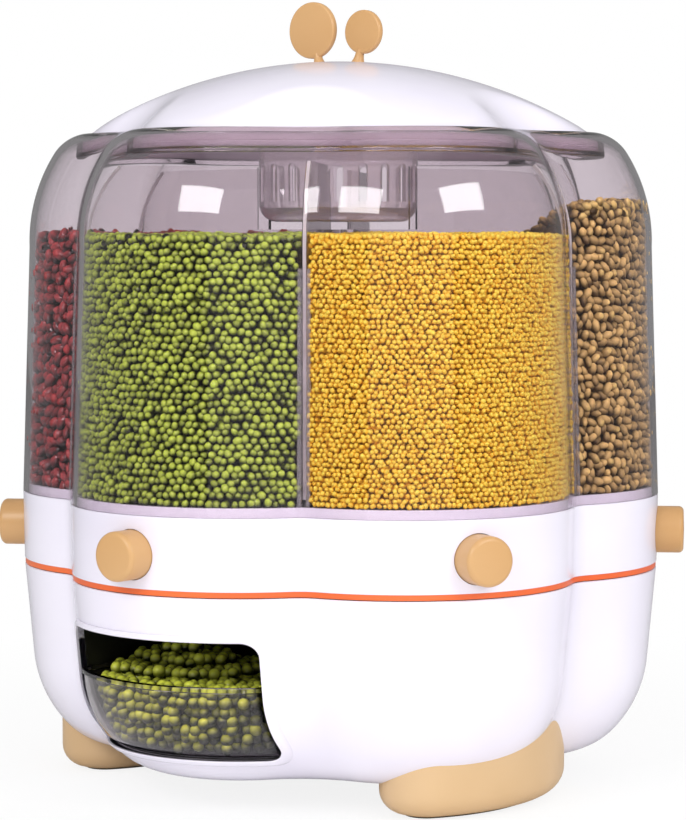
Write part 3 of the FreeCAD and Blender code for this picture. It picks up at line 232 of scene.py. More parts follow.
@dataclass(frozen=True)
class ClearStyrene(Surface):
    """Clear moulded polystyrene: low tints what is seen through it, high tints lamplight.

    It is brilliant like glass, with soft flow waves, and lets lamplight through to the grain.
    Its milk is the share of light that a cloudy moulding or a sawn edge scatters.
    """

    milk: float = 0.0
    waves: float = 0.03

    def shader(self, tree: Tree, place: Socket) -> Node:
        """Add the styrene's nodes; Args and Returns as in Surface."""
        tint = linear(self.low)
        flow = add(tree, "TexNoise", {"Scale": per_metre(35), "Detail": 1.0}, {"Vector": place})
        bump = add(tree, "Bump", {"Strength": self.waves, "Distance": 0.001}, {"Height": flow})
        settings = {"Base Color": tint, "IOR": 1.5}
        settings |= {"Transmission Weight": 1.0 - self.milk, "Roughness": 0.02 + 0.2 * self.milk}
        clear = add(tree, "BsdfPrincipled", settings, {"Normal": bump})
        cloud = add(tree, "BsdfTranslucent", {"Color": tint})
        both = {1: clear, 2: cloud}
        body = add(tree, "MixShader", {0: 0.7 * self.milk}, both)
        return lamplit(tree, body, linear(self.high))


@dataclass(frozen=True)
class ZincSteel(Surface):
    """Zinc-plated steel of screws and races: a bright metal with a soft, uneven grey lustre."""

    roughness: float = 0.3

    def shader(self, tree: Tree, place: Socket) -> Node:
        """Add the steel's nodes; Args and Returns as in Surface."""
        cloud = add(tree, "TexNoise", {"Scale": per_metre(2)}, {"Vector": place})
        links = {"Base Color": spread(tree, cloud, self.low, self.high)}
        return add(tree, "BsdfPrincipled", {"Metallic": 1.0, "Roughness": self.roughness}, links)


@dataclass(frozen=True)
class SeedCoat(Surface):
    """The skin of dried beans and grain: waxy or dusty, each seed a little lighter or darker.

    Its tone attribute holds a random tone per seed, with painted light and shade: it is highest
    on the cap that faces up and outwards, a painted highlight, and falls as painted shade towards
    the hidden side, in deeper layers and in the core, where neighbours keep the light away.
    """

    roughness: float = 0.45
    fleck_mm: float = 1.5
    coat: float = 0.0

    def shader(self, tree: Tree, place: Socket) -> Node:
        """Add the skin's nodes; Args and Returns as in Surface."""
        # The tone attribute carries painted shade and a painted highlight besides each seed's own tone.
        tone_and_shade = add(tree, "Attribute", {"attribute_name": "tone_and_shade"}).outputs["Fac"]
        fleck = add(tree, "TexNoise", {"Scale": per_metre(self.fleck_mm)}, {"Vector": place})
        both = add(tree, "Mix", {"data_type": "FLOAT", 0: 0.12}, {2: tone_and_shade, 3: fleck})
        settings = {"Roughness": self.roughness, "IOR": 1.45}
        settings |= {"Coat Weight": self.coat, "Coat Roughness": 0.12}
        links = {"Base Color": spread(tree, both, self.low, self.high, 0.08)}
        return add(tree, "BsdfPrincipled", settings, links)


class Finish(Enum):
    """The finishes of the dispenser, by the part of it that they dress."""

    SHELL = MouldedPlastic("white_abs_polished", "EDE8F7", "F4F0FC", 0.2, 0.35)
    DOME = MouldedPlastic("white_abs_thin", "EDE8F7", "F4F0FC", 0.2, 0.35, through=0.75)
    INNER = MouldedPlastic("white_pp_satin", "E6E4E8", "F0EEF0", 0.45)
    TAN = MouldedPlastic("tan_abs_satin", "C99A63", "D6AA76", 0.34, 0.0, 1.2, 0.05)
    PALE_TAN = MouldedPlastic("pale_tan_abs_satin", "CFAB7C", "DDBB8F", 0.36, 0.0, 1.2, 0.05)
    ORANGE = MouldedPlastic("orange_abs", "E8602A", "F27238", 0.3)
    # Painted shade: the liner of the cup's bay is charcoal, so that the inside of the bay looks as dark as
    # deep shade.
    LINER_AS_SHADE = MouldedPlastic("charcoal_pp_painted_shade", "1B1B16", "26261F", 0.4)
    PAD = MouldedPlastic("grey_rubber", "7C7468", "8A8174", 0.8, 0.0, 0.8, 0.2)
    SEAL = MouldedPlastic("pale_silicone", "BDB2BB", "CBC1C9", 0.5)
    CLEAR = ClearStyrene("clear_styrene", "EAE3E8", "F3EFF1")
    PANE = ClearStyrene("clear_styrene_panel", "F5F1F3", "F6F3F5")
    CLOUDY = ClearStyrene("cloudy_styrene", "EEE8EC", "F0EAEE", 0.75)
    SAWN = ClearStyrene("sawn_styrene_edge", "FFFFFF", "F6F2F5", 1.0)
    HAZY = ClearStyrene("hazy_styrene", "FAF6F9", "F6F2F5", 0.12)
    STEEL = ZincSteel("zinc_plated_steel", "B9B9BE", "D0D0D4")
    # For seeds, low is the painted shade colour of hidden sides, deeper layers and the core, and high the
    # painted highlight on the outward caps.
    MUNG = SeedCoat("mung_bean_skin", "040700", "C2DA4A", 0.3, coat=0.7)
    MILLET = SeedCoat("millet_skin", "F4BC24", "FFEC58", 0.42, 0.8)
    RED_BEAN = SeedCoat("adzuki_bean_skin", "0E0103", "BC4A4C", 0.28, coat=0.8)
    BROWN = SeedCoat("brown_grain_husk", "40290D", "F2CC80", 0.5, 0.7)
    RICE = SeedCoat("white_rice", "BDB5A3", "FFFAF0", 0.45)
    # Painted light: the cup's mung beans get brighter colours than MUNG, so that they look lit inside the
    # shaded bay.
    CUP_BEAN_PAINTED_LIGHT = SeedCoat("mung_bean_skin_painted_lighter", "121C02", "F8FF5A", 0.3, coat=0.8)
    BLACK_BEAN = SeedCoat("black_bean_skin", "0C0B10", "3A3742", 0.3, coat=0.6)


# Meshes


@dataclass
class Patch:
    """Points and the faces between them.

    Attributes:
        points: Shape (n, 3), in millimetres.
        faces: Shape (m, 4), corner numbers; a triangle repeats a corner.
    """

    points: Array
    faces: Array

    def __add__(self, other: "Patch") -> "Patch":
        """Both patches as one."""
        faces = np.concatenate([self.faces, other.faces + len(self.points)])
        return Patch(np.concatenate([self.points, other.points]), faces)

    def turned(self, degrees: float) -> "Patch":
        """Turn the patch about the dispenser's axis.

        Args:
            degrees: Anticlockwise, seen from above.

        Returns:
            The turned patch.
        """
        a = math.radians(degrees)
        spin = np.array([[math.cos(a), math.sin(a), 0], [-math.sin(a), math.cos(a), 0], [0, 0, 1]])
        return Patch(self.points @ spin, self.faces)

    def all_round(self) -> "Patch":
        """Six copies of the patch, one per crease or lobe."""
        return sum((self.turned(60 * k) for k in range(1, 6)), self)


def weave(points: Array, wrap_rows: bool = False, wrap_columns: bool = False) -> Patch:
    """Join a grid of points into quads: corner (i, j), (i, j+1), (i+1, j+1), (i+1, j).

    Args:
        points: Shape (rows, columns, 3).
        wrap_rows: Join the last row to the first.
        wrap_columns: Join the last column to the first.

    Returns:
        The patch.
    """
    rows, columns = points.shape[:2]
    spans = (np.arange(rows - 1 + wrap_rows), np.arange(columns - 1 + wrap_columns))
    i, j = (side.ravel() for side in np.meshgrid(*spans, indexing="ij"))
    ni, nj = (i + 1) % rows, (j + 1) % columns
    faces = np.stack([i * columns + j, i * columns + nj, ni * columns + nj, ni * columns + j], 1)
    return Patch(points.reshape(-1, 3), faces)


def welded(patch: Patch) -> Patch:
    """Merge points that coincide within a tenth of a micron, and drop faces that vanish.

    Args:
        patch: Any patch.

    Returns:
        The lighter patch.
    """
    keys = np.round(patch.points * 1e4).astype(np.int64)
    _, first, renumber = np.unique(keys, axis=0, return_index=True, return_inverse=True)
    faces = renumber.ravel()[patch.faces]
    same = (faces == np.roll(faces, 1, axis=1)).sum(1) + (faces[:, 0] == faces[:, 2])
    return Patch(patch.points[first], faces[same < 2])


def placed(name: str, data: bpy.types.ID) -> Piece:
    """Put a mesh, lamp or camera into the scene.

    Args:
        name: The object's name.
        data: What it shows.

    Returns:
        The object.
    """
    made = bpy.data.objects.new(name, data)
    bpy.context.scene.collection.objects.link(made)
    return made


def volume(patch: Patch) -> float:
    """Signed volume inside a closed patch, the sum of a cone to the origin over its faces."""
    a, b, c, d = (patch.points[patch.faces[:, i]] for i in range(4))
    return float(np.einsum("ij,ij->i", np.cross(b - a, c - a) + np.cross(c - a, d - a), a).sum() / 6)


def build(name: str, patch: Patch, finish: Finish, sharp: float = SHARP, weld: bool = True) -> Piece:
    """Put a patch into a mesh object, in metres, facing outwards.

    Args:
        name: The piece's name.
        patch: Its points and faces.
        finish: Its finish.
        sharp: Edges that turn by more than this many degrees stay sharp.
        weld: Merge coinciding points first.

    Returns:
        The object, linked to the scene.
    """
    if weld:
        patch = welded(patch)
    faces = patch.faces
    three = (faces == np.roll(faces, 1, axis=1)).any(1)
    quads, triangles = faces[~three], faces[three]
    triangles = triangles[triangles != np.roll(triangles, 1, axis=1)].reshape(-1, 3)
    corners = np.concatenate([quads.ravel(), triangles.ravel()]).astype(np.int32)
    totals = np.repeat([4, 3], [len(quads), len(triangles)]).astype(np.int32)
    mesh = bpy.data.meshes.new(name)
    mesh.vertices.add(len(patch.points))
    mesh.vertices.foreach_set("co", (patch.points * MM).astype(np.float32).ravel())
    mesh.loops.add(len(corners))
    mesh.loops.foreach_set("vertex_index", corners)
    mesh.polygons.add(len(totals))
    mesh.polygons.foreach_set("loop_start", (np.cumsum(totals) - totals).astype(np.int32))
    mesh.polygons.foreach_set("loop_total", totals)
    mesh.update(calc_edges=True)
    if volume(patch) < 0:
        mesh.flip_normals()
    smooth(mesh, sharp)
    mesh.materials.append(finish.value.material())
    return placed(name, mesh)


def smooth(mesh: bpy.types.Mesh, sharp: float = SHARP) -> None:
    """Shade a mesh smooth, but for edges that turn by more than sharp degrees."""
    mesh.polygons.foreach_set("use_smooth", np.ones(len(mesh.polygons), bool))
    mesh.set_sharp_from_angle(angle=math.radians(sharp))


def cut(target: Piece, tool: Patch) -> None:
    """Cut a closed patch out of an object by a Boolean modifier, applied at once.

    Args:
        target: The object.
        tool: What is taken away.
    """
    cutter = build("cutter", tool, Finish.INNER)
    step = target.modifiers.new("cut", "BOOLEAN")
    step.operation, step.solver, step.object = "DIFFERENCE", "EXACT", cutter
    graph = bpy.context.evaluated_depsgraph_get()
    mesh = bpy.data.meshes.new_from_object(target.evaluated_get(graph))
    target.modifiers.clear()
    target.data = mesh
    bpy.data.objects.remove(cutter)
    smooth(mesh)


def dress(piece: Piece, body: str, node: str = "") -> None:
    """Set a piece on its body, and hide the CAD node that it stands for.

    Args:
        piece: The piece.
        body: The body that carries it.
        node: The CAD node that it stands for, if any.
    """
    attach(piece, body)
    if node:
        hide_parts(node)
    LOG.info("%s rides on %s, %d faces", piece.name, body, len(piece.data.polygons))


# Profiles


def arc(centre: Sequence[float], radius: float, start: float, end: float, steps: int) -> Array:
    """Points on an arc in the radial plane: centre plus radius along each angle, in radians."""
    a = np.linspace(start, end, steps)
    return np.stack([centre[0] + radius * np.cos(a), centre[1] + radius * np.sin(a)], 1)


def softened(corners: Sequence[tuple[float, float, float]], steps: int = 5, closed: bool = True) -> Array:
    """A profile whose corners are rounded: each gives way to an arc tangent to both its sides.

    Args:
        corners: (r, z, radius) in order.
        steps: Points on each arc.
        closed: Whether the last corner joins the first.

    Returns:
        Points of shape (n, 2).
    """
    spots = np.array([c[:2] for c in corners], float)
    count = len(spots)
    out = []
    for i, (_, _, radius) in enumerate(corners):
        here = spots[i]
        if not closed and i in (0, count - 1) or radius <= 0:
            out.append(here[None])
            continue
        back, ahead = spots[i - 1] - here, spots[(i + 1) % count] - here
        back, ahead = back / np.linalg.norm(back), ahead / np.linalg.norm(ahead)
        half = math.acos(float(np.clip(back @ ahead, -1, 1))) / 2
        middle = back + ahead
        centre = here + middle / np.linalg.norm(middle) * radius / math.sin(half)
        first, last = here + back * radius / math.tan(half), here + ahead * radius / math.tan(half)
        a0 = math.atan2(*(first - centre)[::-1])
        a1 = math.atan2(*(last - centre)[::-1])
        a1 = a0 + (a1 - a0 + math.pi) % TURN - math.pi
        out.append(arc(centre, radius, a0, a1, steps))
    return np.concatenate(out)


@dataclass(frozen=True)
class Bend:
    """A wall that runs straight, bends in through two tangent arcs and ends level.

    Attributes:
        start: Where the first arc begins, (r, z).
        slope: Outward lean of the straight wall.
        first_r: Radius of the first arc.
        second_r: Radius of the second arc.
        end_z: Height at which the curve is level.
    """

    start: tuple[float, float]
    slope: float
    first_r: float
    second_r: float
    end_z: float

    def points(self, offset: float = 0.0, end_r: float = 0.0, steps: int = 14) -> Array:
        """Points along both arcs, moved inwards by offset about the same centres.

        Args:
            offset: The wall's thickness inwards.
            end_r: Radius to stop at on the second arc, or 0 to run until level.
            steps: Points on each arc.

        Returns:
            Shape (2 * steps - 1, 2).
        """
        up = 1 if self.end_z > self.start[1] else -1
        length = math.hypot(self.slope, 1)
        inward = np.array([-1 / length, -self.slope * up / length])
        first = np.array(self.start) + inward * self.first_r
        second_z = self.end_z - up * self.second_r
        drop = second_z - first[1]
        second = np.array([first[0] + math.sqrt((self.first_r - self.second_r) ** 2 - drop**2), second_z])
        turn = math.atan2(drop, second[0] - first[0])
        begin = math.atan2(-inward[1], -inward[0])
        last = up * math.pi / 2
        if end_r:
            last = up * math.acos((end_r - second[0]) / (self.second_r - offset))
        upper = arc(second, self.second_r - offset, turn, last, steps)
        return np.concatenate([arc(first, self.first_r - offset, begin, turn, steps), upper[1:]])


@dataclass(frozen=True)
class LobedPlan:
    """The six-lobed plan: lobe arcs about six centres, joined by hollow arcs in the creases.

    A radius r of the lobe tips gives lobe arcs of r - offset and crease arcs of
    fillet + body_r - r about fixed centres, so lines of equal r are parallel curves.
    A station counts lobes round the plan; beyond cusp from a lobe's middle it is in a crease.
    """

    body_r: float = 145.0
    offset: float = 69.6
    fillet: float = 14.8
    lobes: int = 6
    front: float = -math.pi / 2
    cusp: float = 0.44
    least: float = 81.6
    lobe_steps: int = 44
    crease_steps: int = 6  # on each half of a crease

    @property
    def half(self) -> float:
        """Half the angle from crease to crease."""
        return math.pi / self.lobes

    @property
    def crease_centre(self) -> float:
        """Distance of the crease arcs' centres from the axis."""
        side, x = self.body_r - self.offset + self.fillet, self.offset * math.cos(self.half)
        return x + math.sqrt(side**2 - (self.offset * math.sin(self.half)) ** 2)

    @property
    def crease_half(self) -> float:
        """Half the angle that a crease arc spans about its own centre."""
        x, y = self.offset * math.cos(self.half), self.offset * math.sin(self.half)
        return math.atan2(y, self.crease_centre - x)

    @property
    def lobe_half(self) -> float:
        """Half the angle that a lobe arc spans about its own centre."""
        return self.half + self.crease_half

    def stations(self) -> Array:
        """Places along the outline, closed: lobe k runs from k - 0.5 to k + 0.5.

        Returns:
            Shape (lobes * (lobe_steps + 2 * crease_steps),).
        """
        cusp, few = self.cusp, self.crease_steps
        spans = ((-0.5, -cusp, few), (-cusp, cusp, self.lobe_steps), (cusp, 0.5, few))
        one = np.concatenate([np.linspace(*span, endpoint=False) for span in spans])
        return (np.arange(self.lobes)[:, None] + one).ravel()

    def at(self, tip_r: Array, station: Array) -> tuple[Array, Array]:
        """The point of the outline of tip radius tip_r at each station.

        Args:
            tip_r: Tip radii, broadcast against station.
            station: Places from stations().

        Returns:
            X and Y in millimetres.
        """
        lobe = np.round(station)
        part = station - lobe
        side = np.sign(part)
        mid = self.front + 2 * self.half * lobe
        a = mid + np.clip(part / self.cusp, -1, 1) * self.lobe_half
        x = self.offset * np.cos(mid) + (tip_r - self.offset) * np.cos(a)
        y = self.offset * np.sin(mid) + (tip_r - self.offset) * np.sin(a)
        valley = mid + side * self.half
        left = np.clip((0.5 - np.abs(part)) / (0.5 - self.cusp), 0, 1) * self.crease_half
        b = valley + side * left
        crease_r = self.fillet + self.body_r - tip_r
        hollow = np.abs(part) > self.cusp
        x = np.where(hollow, self.crease_centre * np.cos(valley) - crease_r * np.cos(b), x)
        y = np.where(hollow, self.crease_centre * np.sin(valley) - crease_r * np.sin(b), y)
        return x, y

    def tip_r(self, x: Array, y: Array) -> Array:
        """The inverse of at(): the distance to the arc's centre gives the tip radius.

        Args:
            x, y: Millimetres.

        Returns:
            The tip radius of the outline through each point.
        """
        turn = np.arctan2(y, x) - self.front
        lobe = np.round(turn / (2 * self.half))
        turn = np.abs(turn - lobe * 2 * self.half)
        r = np.hypot(x, y)
        px, py = r * np.cos(turn), r * np.sin(turn)
        lobed = self.offset + np.hypot(px - self.offset, py)
        cx, cy = self.crease_centre * math.cos(self.half), self.crease_centre * math.sin(self.half)
        inside = np.arctan2(py, px - self.offset) <= self.lobe_half
        return np.where(inside, lobed, self.fillet + self.body_r - np.hypot(px - cx, py - cy))

    def shell(self, profile: Array, closed: bool = True) -> Patch:
        """Carry a profile round the outline: row i is the outline of tip radius r_i at height z_i.

        Below the least tip radius an outline is the least one, scaled down.

        Args:
            profile: Shape (n, 2), tip radius and height.
            closed: Whether its ends join; otherwise it starts and ends on the axis.

        Returns:
            The closed patch.
        """
        r = profile[:, :1]
        x, y = self.at(np.maximum(r, self.least), self.stations()[None])
        shrink = np.minimum(r / self.least, 1)
        points = np.stack([x * shrink, y * shrink, np.broadcast_to(profile[:, 1:], x.shape)], -1)
        return weave(points, wrap_rows=closed, wrap_columns=True)


PLAN = LobedPlan()
BOWL_RIM = (144.3, 95.6)
BOWL_LEAN = 0.09
BOWL = Bend((BOWL_RIM[0] - BOWL_LEAN * (BOWL_RIM[1] - 54.4), 54.4), BOWL_LEAN, 53.5, 29.5, 13.0)
BELL_FOOT = 129.0
BELL_LEAN = 0.0325


def bell_r(z: Array) -> Array:
    """Tip radius of the bell's straight wall at each height."""
    return PLAN.body_r - BELL_LEAN * (z - BELL_FOOT)


SHOULDER = Bend((bell_r(239.5), 239.5), -BELL_LEAN, 75.0, 20.0, 291.0)


def lathe(profile: Array, steps: int = 64) -> Patch:
    """Turn a profile about Z: each point becomes a circle of its radius at its height.

    Args:
        profile: Shape (n, 2), radius and height; both its ends lie on the axis.
        steps: Points round the circle.

    Returns:
        The closed patch.
    """
    a = np.linspace(0, TURN, steps, endpoint=False)
    r, z = profile[:, :1], profile[:, 1:]
    points = np.stack([r * np.cos(a), r * np.sin(a), np.broadcast_to(z, (len(profile), steps))], -1)
    return weave(points, wrap_columns=True)


def moved(patch: Patch, turn: Euler, offset: Sequence[float]) -> Patch:
    """A patch turned by Euler angles about the origin and then moved."""
    return Patch(patch.points @ np.array(turn.to_matrix()).T + np.array(offset), patch.faces)


def bowl_y(x: Array, z: Array, proud: float = 0.0) -> Array:
    """The bowl's front lobe: a circle about the lobe's centre at each height.

    Args:
        x, z: Millimetres.
        proud: How far outside the surface.

    Returns:
        Y in millimetres.
    """
    rows = np.concatenate([[BOWL_RIM], BOWL.points(steps=40)])
    radius = np.interp(z, rows[::-1, 1], rows[::-1, 0]) - PLAN.offset + proud
    return -PLAN.offset - np.sqrt(np.maximum(radius**2 - x**2, 0))


def bowl_z(tip_r: Array) -> Array:
    """Height of the bowl's outside at each tip radius."""
    rows = BOWL.points(steps=40)
    return np.interp(tip_r, rows[::-1, 0], rows[::-1, 1])


# Sub-assemblies


@dataclass
class Base:
    """The bowl with its outlet, and the three shoes that carry it."""

    wall: float = 2.6
    window: tuple[float, float, float, float] = (50.5, 25.2, 77.0, 6.0)  # half width, low, high, corner
    lip_w: float = 2.6
    lip_out: float = 1.5
    foot_l: float = 56.0
    foot_w: float = 31.5
    foot_end: float = 20.0
    foot_edge: float = 10.0
    foot_low: float = 1.0
    foot_in: float = 0.8

    def bowl(self) -> None:
        """Make the bowl as one shell, its outlet cut through the front lobe."""
        outer, inner = BOWL.points(steps=20), BOWL.points(self.wall, steps=12)
        rim_r, rim_z = BOWL_RIM
        rise = rim_z - 0.6 - inner[0][1]
        inside = inner[0] + [BOWL_LEAN * rise, rise]
        rim = [[rim_r, rim_z - 0.4], [rim_r - 0.4, rim_z], [rim_r - 2.2, rim_z], inside]
        flat = np.array([[0.0, BOWL.end_z], [40.0, BOWL.end_z], [82.0, BOWL.end_z]])
        profile = np.concatenate([flat, outer[::-1], rim, inner, flat[::-1] + [0.0, self.wall]])
        piece = build("bowl", PLAN.shell(profile, closed=False), Finish.SHELL)
        cut(piece, self.window_block())
        dress(piece, "base", "base_shell")

    def outline(self, grow: float) -> Array:
        """The outlet's rounded outline in X and Z, grown all round, in even steps.

        Args:
            grow: Growth in millimetres.

        Returns:
            Shape (200, 2), closed.
        """
        half, low, high, corner = self.window
        x, low, high, r = half + grow, low - grow, high + grow, corner + grow
        points = softened([(x, low, r), (x, high, r), (-x, high, r), (-x, low, r)], 10)
        step = np.linalg.norm(np.diff(points, axis=0, append=points[:1]), axis=1)
        along = np.concatenate([[0], np.cumsum(step)])
        even = np.linspace(0, along[-1], 200, endpoint=False)
        whole = np.concatenate([points, points[:1]])
        return np.stack([np.interp(even, along, whole[:, i]) for i in (0, 1)], 1)

    def window_block(self) -> Patch:
        """A prism through the outlet, closed to a point at both ends.

        Returns:
            The closed patch.
        """
        x, z = self.outline(0.0).T
        loops = []
        for y, share in ((-160.0, 0.0), (-160.0, 1.0), (-75.0, 1.0), (-75.0, 0.0)):
            loops.append(np.stack([x * share, np.full(len(x), y), (z - 50) * share + 50], 1))
        return weave(np.array(loops), wrap_columns=True)

    def lip(self) -> None:
        """Make the raised lip: a rounded section carried round the outlet on the bowl's surface."""
        wide, out = self.lip_w, self.lip_out
        section = [(0.0, -self.wall, 0), (0.0, out, 0.7), (wide, out, 1.0), (wide, -0.6, 0)]
        rows = []
        for grow, proud in softened(section, 6):
            x, z = self.outline(float(grow)).T
            rows.append(np.stack([x, bowl_y(x, z, float(proud)), z], 1))
        patch = weave(np.array(rows), wrap_rows=True, wrap_columns=True)
        dress(build("outlet_lip", patch, Finish.SHELL), "base")

    def shoe(self, place: str, x: float, y: float, along_x: bool) -> None:
        """Make one shoe: an oval of four arcs, round at the sole, that ends in the bowl's wall.

        Args:
            place: Which foot it is.
            x, y: Its centre.
            along_x: Whether it is long along X.
        """
        run = self.foot_l - self.foot_end
        side_r = (run**2 + self.foot_w**2 - self.foot_end**2) / (2 * (self.foot_w - self.foot_end))
        turn = math.atan2(side_r - self.foot_w, run)
        a = np.linspace(0, TURN, 120, endpoint=False)
        end = np.abs(np.mod(a + math.pi / 2, math.pi) - math.pi / 2) < turn
        cx = np.where(end, run * np.sign(np.cos(a)), 0.0)
        cy = np.where(end, 0.0, (self.foot_w - side_r) * np.sign(np.sin(a)))
        q = np.linspace(0, math.pi / 2, 9)[1:, None]
        r = np.where(end, self.foot_end, side_r) - self.foot_edge * (1 - np.sin(q))
        z = self.foot_low + self.foot_edge * (1 - np.cos(q)) + 0 * a
        side = np.stack([cx + r * np.cos(a), cy + r * np.sin(a), z], -1)
        sole = np.tile([0.0, 0.0, self.foot_low], (1, len(a), 1))
        body = np.concatenate([sole, side, *(side[-1:] * [share, share, 1] for share in (1, 0.5, 0))])
        if not along_x:
            body[..., 0], body[..., 1] = -body[..., 1].copy(), body[..., 0].copy()
        body[..., :2] += [x, y]
        body[-3:, :, 2] = bowl_z(PLAN.tip_r(body[-3:, :, 0], body[-3:, :, 1])) + self.foot_in
        piece = build("shoe_" + place, weave(body, wrap_columns=True), Finish.PALE_TAN)
        dress(piece, "base", "foot_" + place)

    def make(self) -> None:
        """Make the base."""
        self.bowl()
        self.lip()
        self.shoe("left", -90.0, -23.0, False)
        self.shoe("right", 90.0, -23.0, False)
        self.shoe("rear", 0.0, 84.0, True)


@dataclass
class Ring:
    """The white ring with its six push buttons."""

    low: float = 98.3
    top: float = BELL_FOOT
    wall: float = 2.5
    button_r: float = 10.5
    button_z: float = 112.5
    button_in: float = 137.0
    button_tip: float = 156.8
    gap: float = 0.3

    def outward(self, profile: Array, start: float) -> Patch:
        """A lathed patch laid along X, beginning at start, at the buttons' height."""
        return moved(lathe(profile, 72), Euler((0, math.pi / 2, 0)), (start, 0, self.button_z))

    def housing(self) -> None:
        """Make the ring's lobed wall with a round hole for each button."""
        r = PLAN.body_r
        outside, inside = [(r - 0.5, self.low, 0.4), (r, self.top, 0.9)], r - self.wall
        inside = [(inside, self.top, 0.4), (inside - 0.5, self.low, 0.4)]
        piece = build("ring", PLAN.shell(softened(outside + inside)), Finish.SHELL)
        bore = self.button_r + self.gap
        hole = self.outward(np.array([[0, 0], [bore, 0], [bore, 30], [0, 30]], float), 130.0)
        holes = [hole.turned(-90 + 60 * k) for k in range(PLAN.lobes)]
        cut(piece, sum(holes[1:], holes[0]))
        dress(piece, "carousel", "ring_housing")

    def buttons(self) -> None:
        """Make the push buttons: round caps with a soft edge and a barely crowned face."""
        r, length = self.button_r, self.button_tip - self.button_in
        cap = softened([(0, 0, 0), (r, 0, 0.5), (r, length - 0.3, 2.2), (0, length, 0)], 9, closed=False)
        patch = self.outward(cap, self.button_in)
        for k in range(PLAN.lobes):
            piece = build(f"push_button_{k + 1}", patch.turned(-90 + 60 * k), Finish.TAN)
            dress(piece, f"gate_{k + 1}", f"button_{k + 1}")

    def make(self) -> None:
        """Make the ring and its buttons."""
        self.housing()
        self.buttons()


@dataclass
class Hopper:
    """The clear bell, with round shoulders and the neck's ledge, and the ribs in its creases."""

    wall: float = 2.5
    neck_r: float = 117.6
    ledge_z: float = 281.9
    neck_bottom: float = 279.5
    ledge_r: float = 110.6
    rib_t: float = 1.6
    rib_gap: float = 1.1
    rib_deep: float = 6.0
    rib_in: float = 0.6
    rib_ends: tuple[float, float] = (133.4, 231.5)

    def bell(self) -> None:
        """Make the bell as one closed shell of even thickness."""
        neck_in = self.neck_r + self.wall
        outer = SHOULDER.points(0.0, self.neck_r, 22)
        inner = SHOULDER.points(self.wall, neck_in, 22)
        side = np.linspace([PLAN.body_r, BELL_FOOT], outer[0], 8)[:-1]
        inside = np.linspace(inner[0], [PLAN.body_r - self.wall, BELL_FOOT], 8)[1:]
        neck = [(self.neck_r, outer[-1][1] - 0.2, 0), (self.neck_r, self.ledge_z, 0.5)]
        neck += [(self.ledge_r, self.ledge_z, 0.5), (self.ledge_r, self.neck_bottom, 0.5)]
        neck += [(neck_in, self.neck_bottom, 0.8), (neck_in, inner[-1][1] - 0.2, 0)]
        profile = np.concatenate([side, outer, softened(neck, 4, closed=False), inner[::-1], inside])
        dress(build("hopper_bell", PLAN.shell(profile), Finish.CLEAR), "carousel", "hopper_shell")

    def grooves(self) -> None:
        """Make twelve ribs that hold the six divider panels, in pairs inside the creases."""
        crease = PLAN.crease_centre - PLAN.fillet - self.wall
        inner = crease - self.rib_deep
        pair = []
        for y in (-self.rib_gap - self.rib_t, self.rib_gap):
            ends = []
            for z in self.rib_ends:
                outer = crease + self.rib_in - BELL_LEAN * (z - BELL_FOOT)
                far = y + self.rib_t
                ends.append([(inner, y, z), (outer, y, z), (outer, far, z), (inner, far, z)])
            rows = np.array([[np.mean(ends[0], 0)] * 4, *ends, [np.mean(ends[1], 0)] * 4])
            pair.append(weave(rows, wrap_columns=True))
        dress(build("hopper_grooves", (pair[0] + pair[1]).all_round(), Finish.HAZY), "carousel")

    def make(self) -> None:
        """Make the bell and its ribs."""
        self.bell()
        self.grooves()


@dataclass
class PanelEdges:
    """The sawn outer edges of the six divider panels, which gather light into a bright line."""

    half: float = 0.7
    deep: float = 1.5
    low: tuple[float, float] = (122.35, 136.0)
    bend: tuple[float, float] = (122.35, 235.5)
    corner: tuple[float, float] = (118.35, 257.75)
    top: tuple[float, float] = (106.0, 275.75)

    def outline(self) -> Array:
        """The panel's outer edge: a line, then a circle through three points.

        Returns:
            Shape (n, 2), radius and height.
        """
        first, mid, last = (np.array(spot) for spot in (self.bend, self.corner, self.top))
        sides = 2 * np.array([mid - first, last - first])
        centre = np.linalg.solve(sides, [mid @ mid - first @ first, last @ last - first @ first])
        start, end = (math.atan2(*(spot - centre)[::-1]) for spot in (first, last))
        curve = arc(centre, float(np.linalg.norm(first - centre)), start, end, 24)
        return np.concatenate([np.linspace(self.low, first, 6)[:-1], curve])

    def make(self) -> None:
        """Make the six strips."""
        spine = self.outline()
        along = np.gradient(spine, axis=0)
        along /= np.linalg.norm(along, axis=1, keepdims=True)
        inner = spine + self.deep * np.stack([-along[:, 1], along[:, 0]], 1)
        sides = ((spine, -self.half), (spine, self.half), (inner, self.half), (inner, -self.half))
        rows = np.stack([np.insert(edge, 1, y, axis=1) for edge, y in sides], 1)
        ends = rows[[0, -1]].mean(1, keepdims=True).repeat(4, 1)
        strip = weave(np.concatenate([ends[:1], rows, ends[1:]]), wrap_columns=True)
        dress(build("panel_edges", strip.all_round(), Finish.SAWN), "carousel")


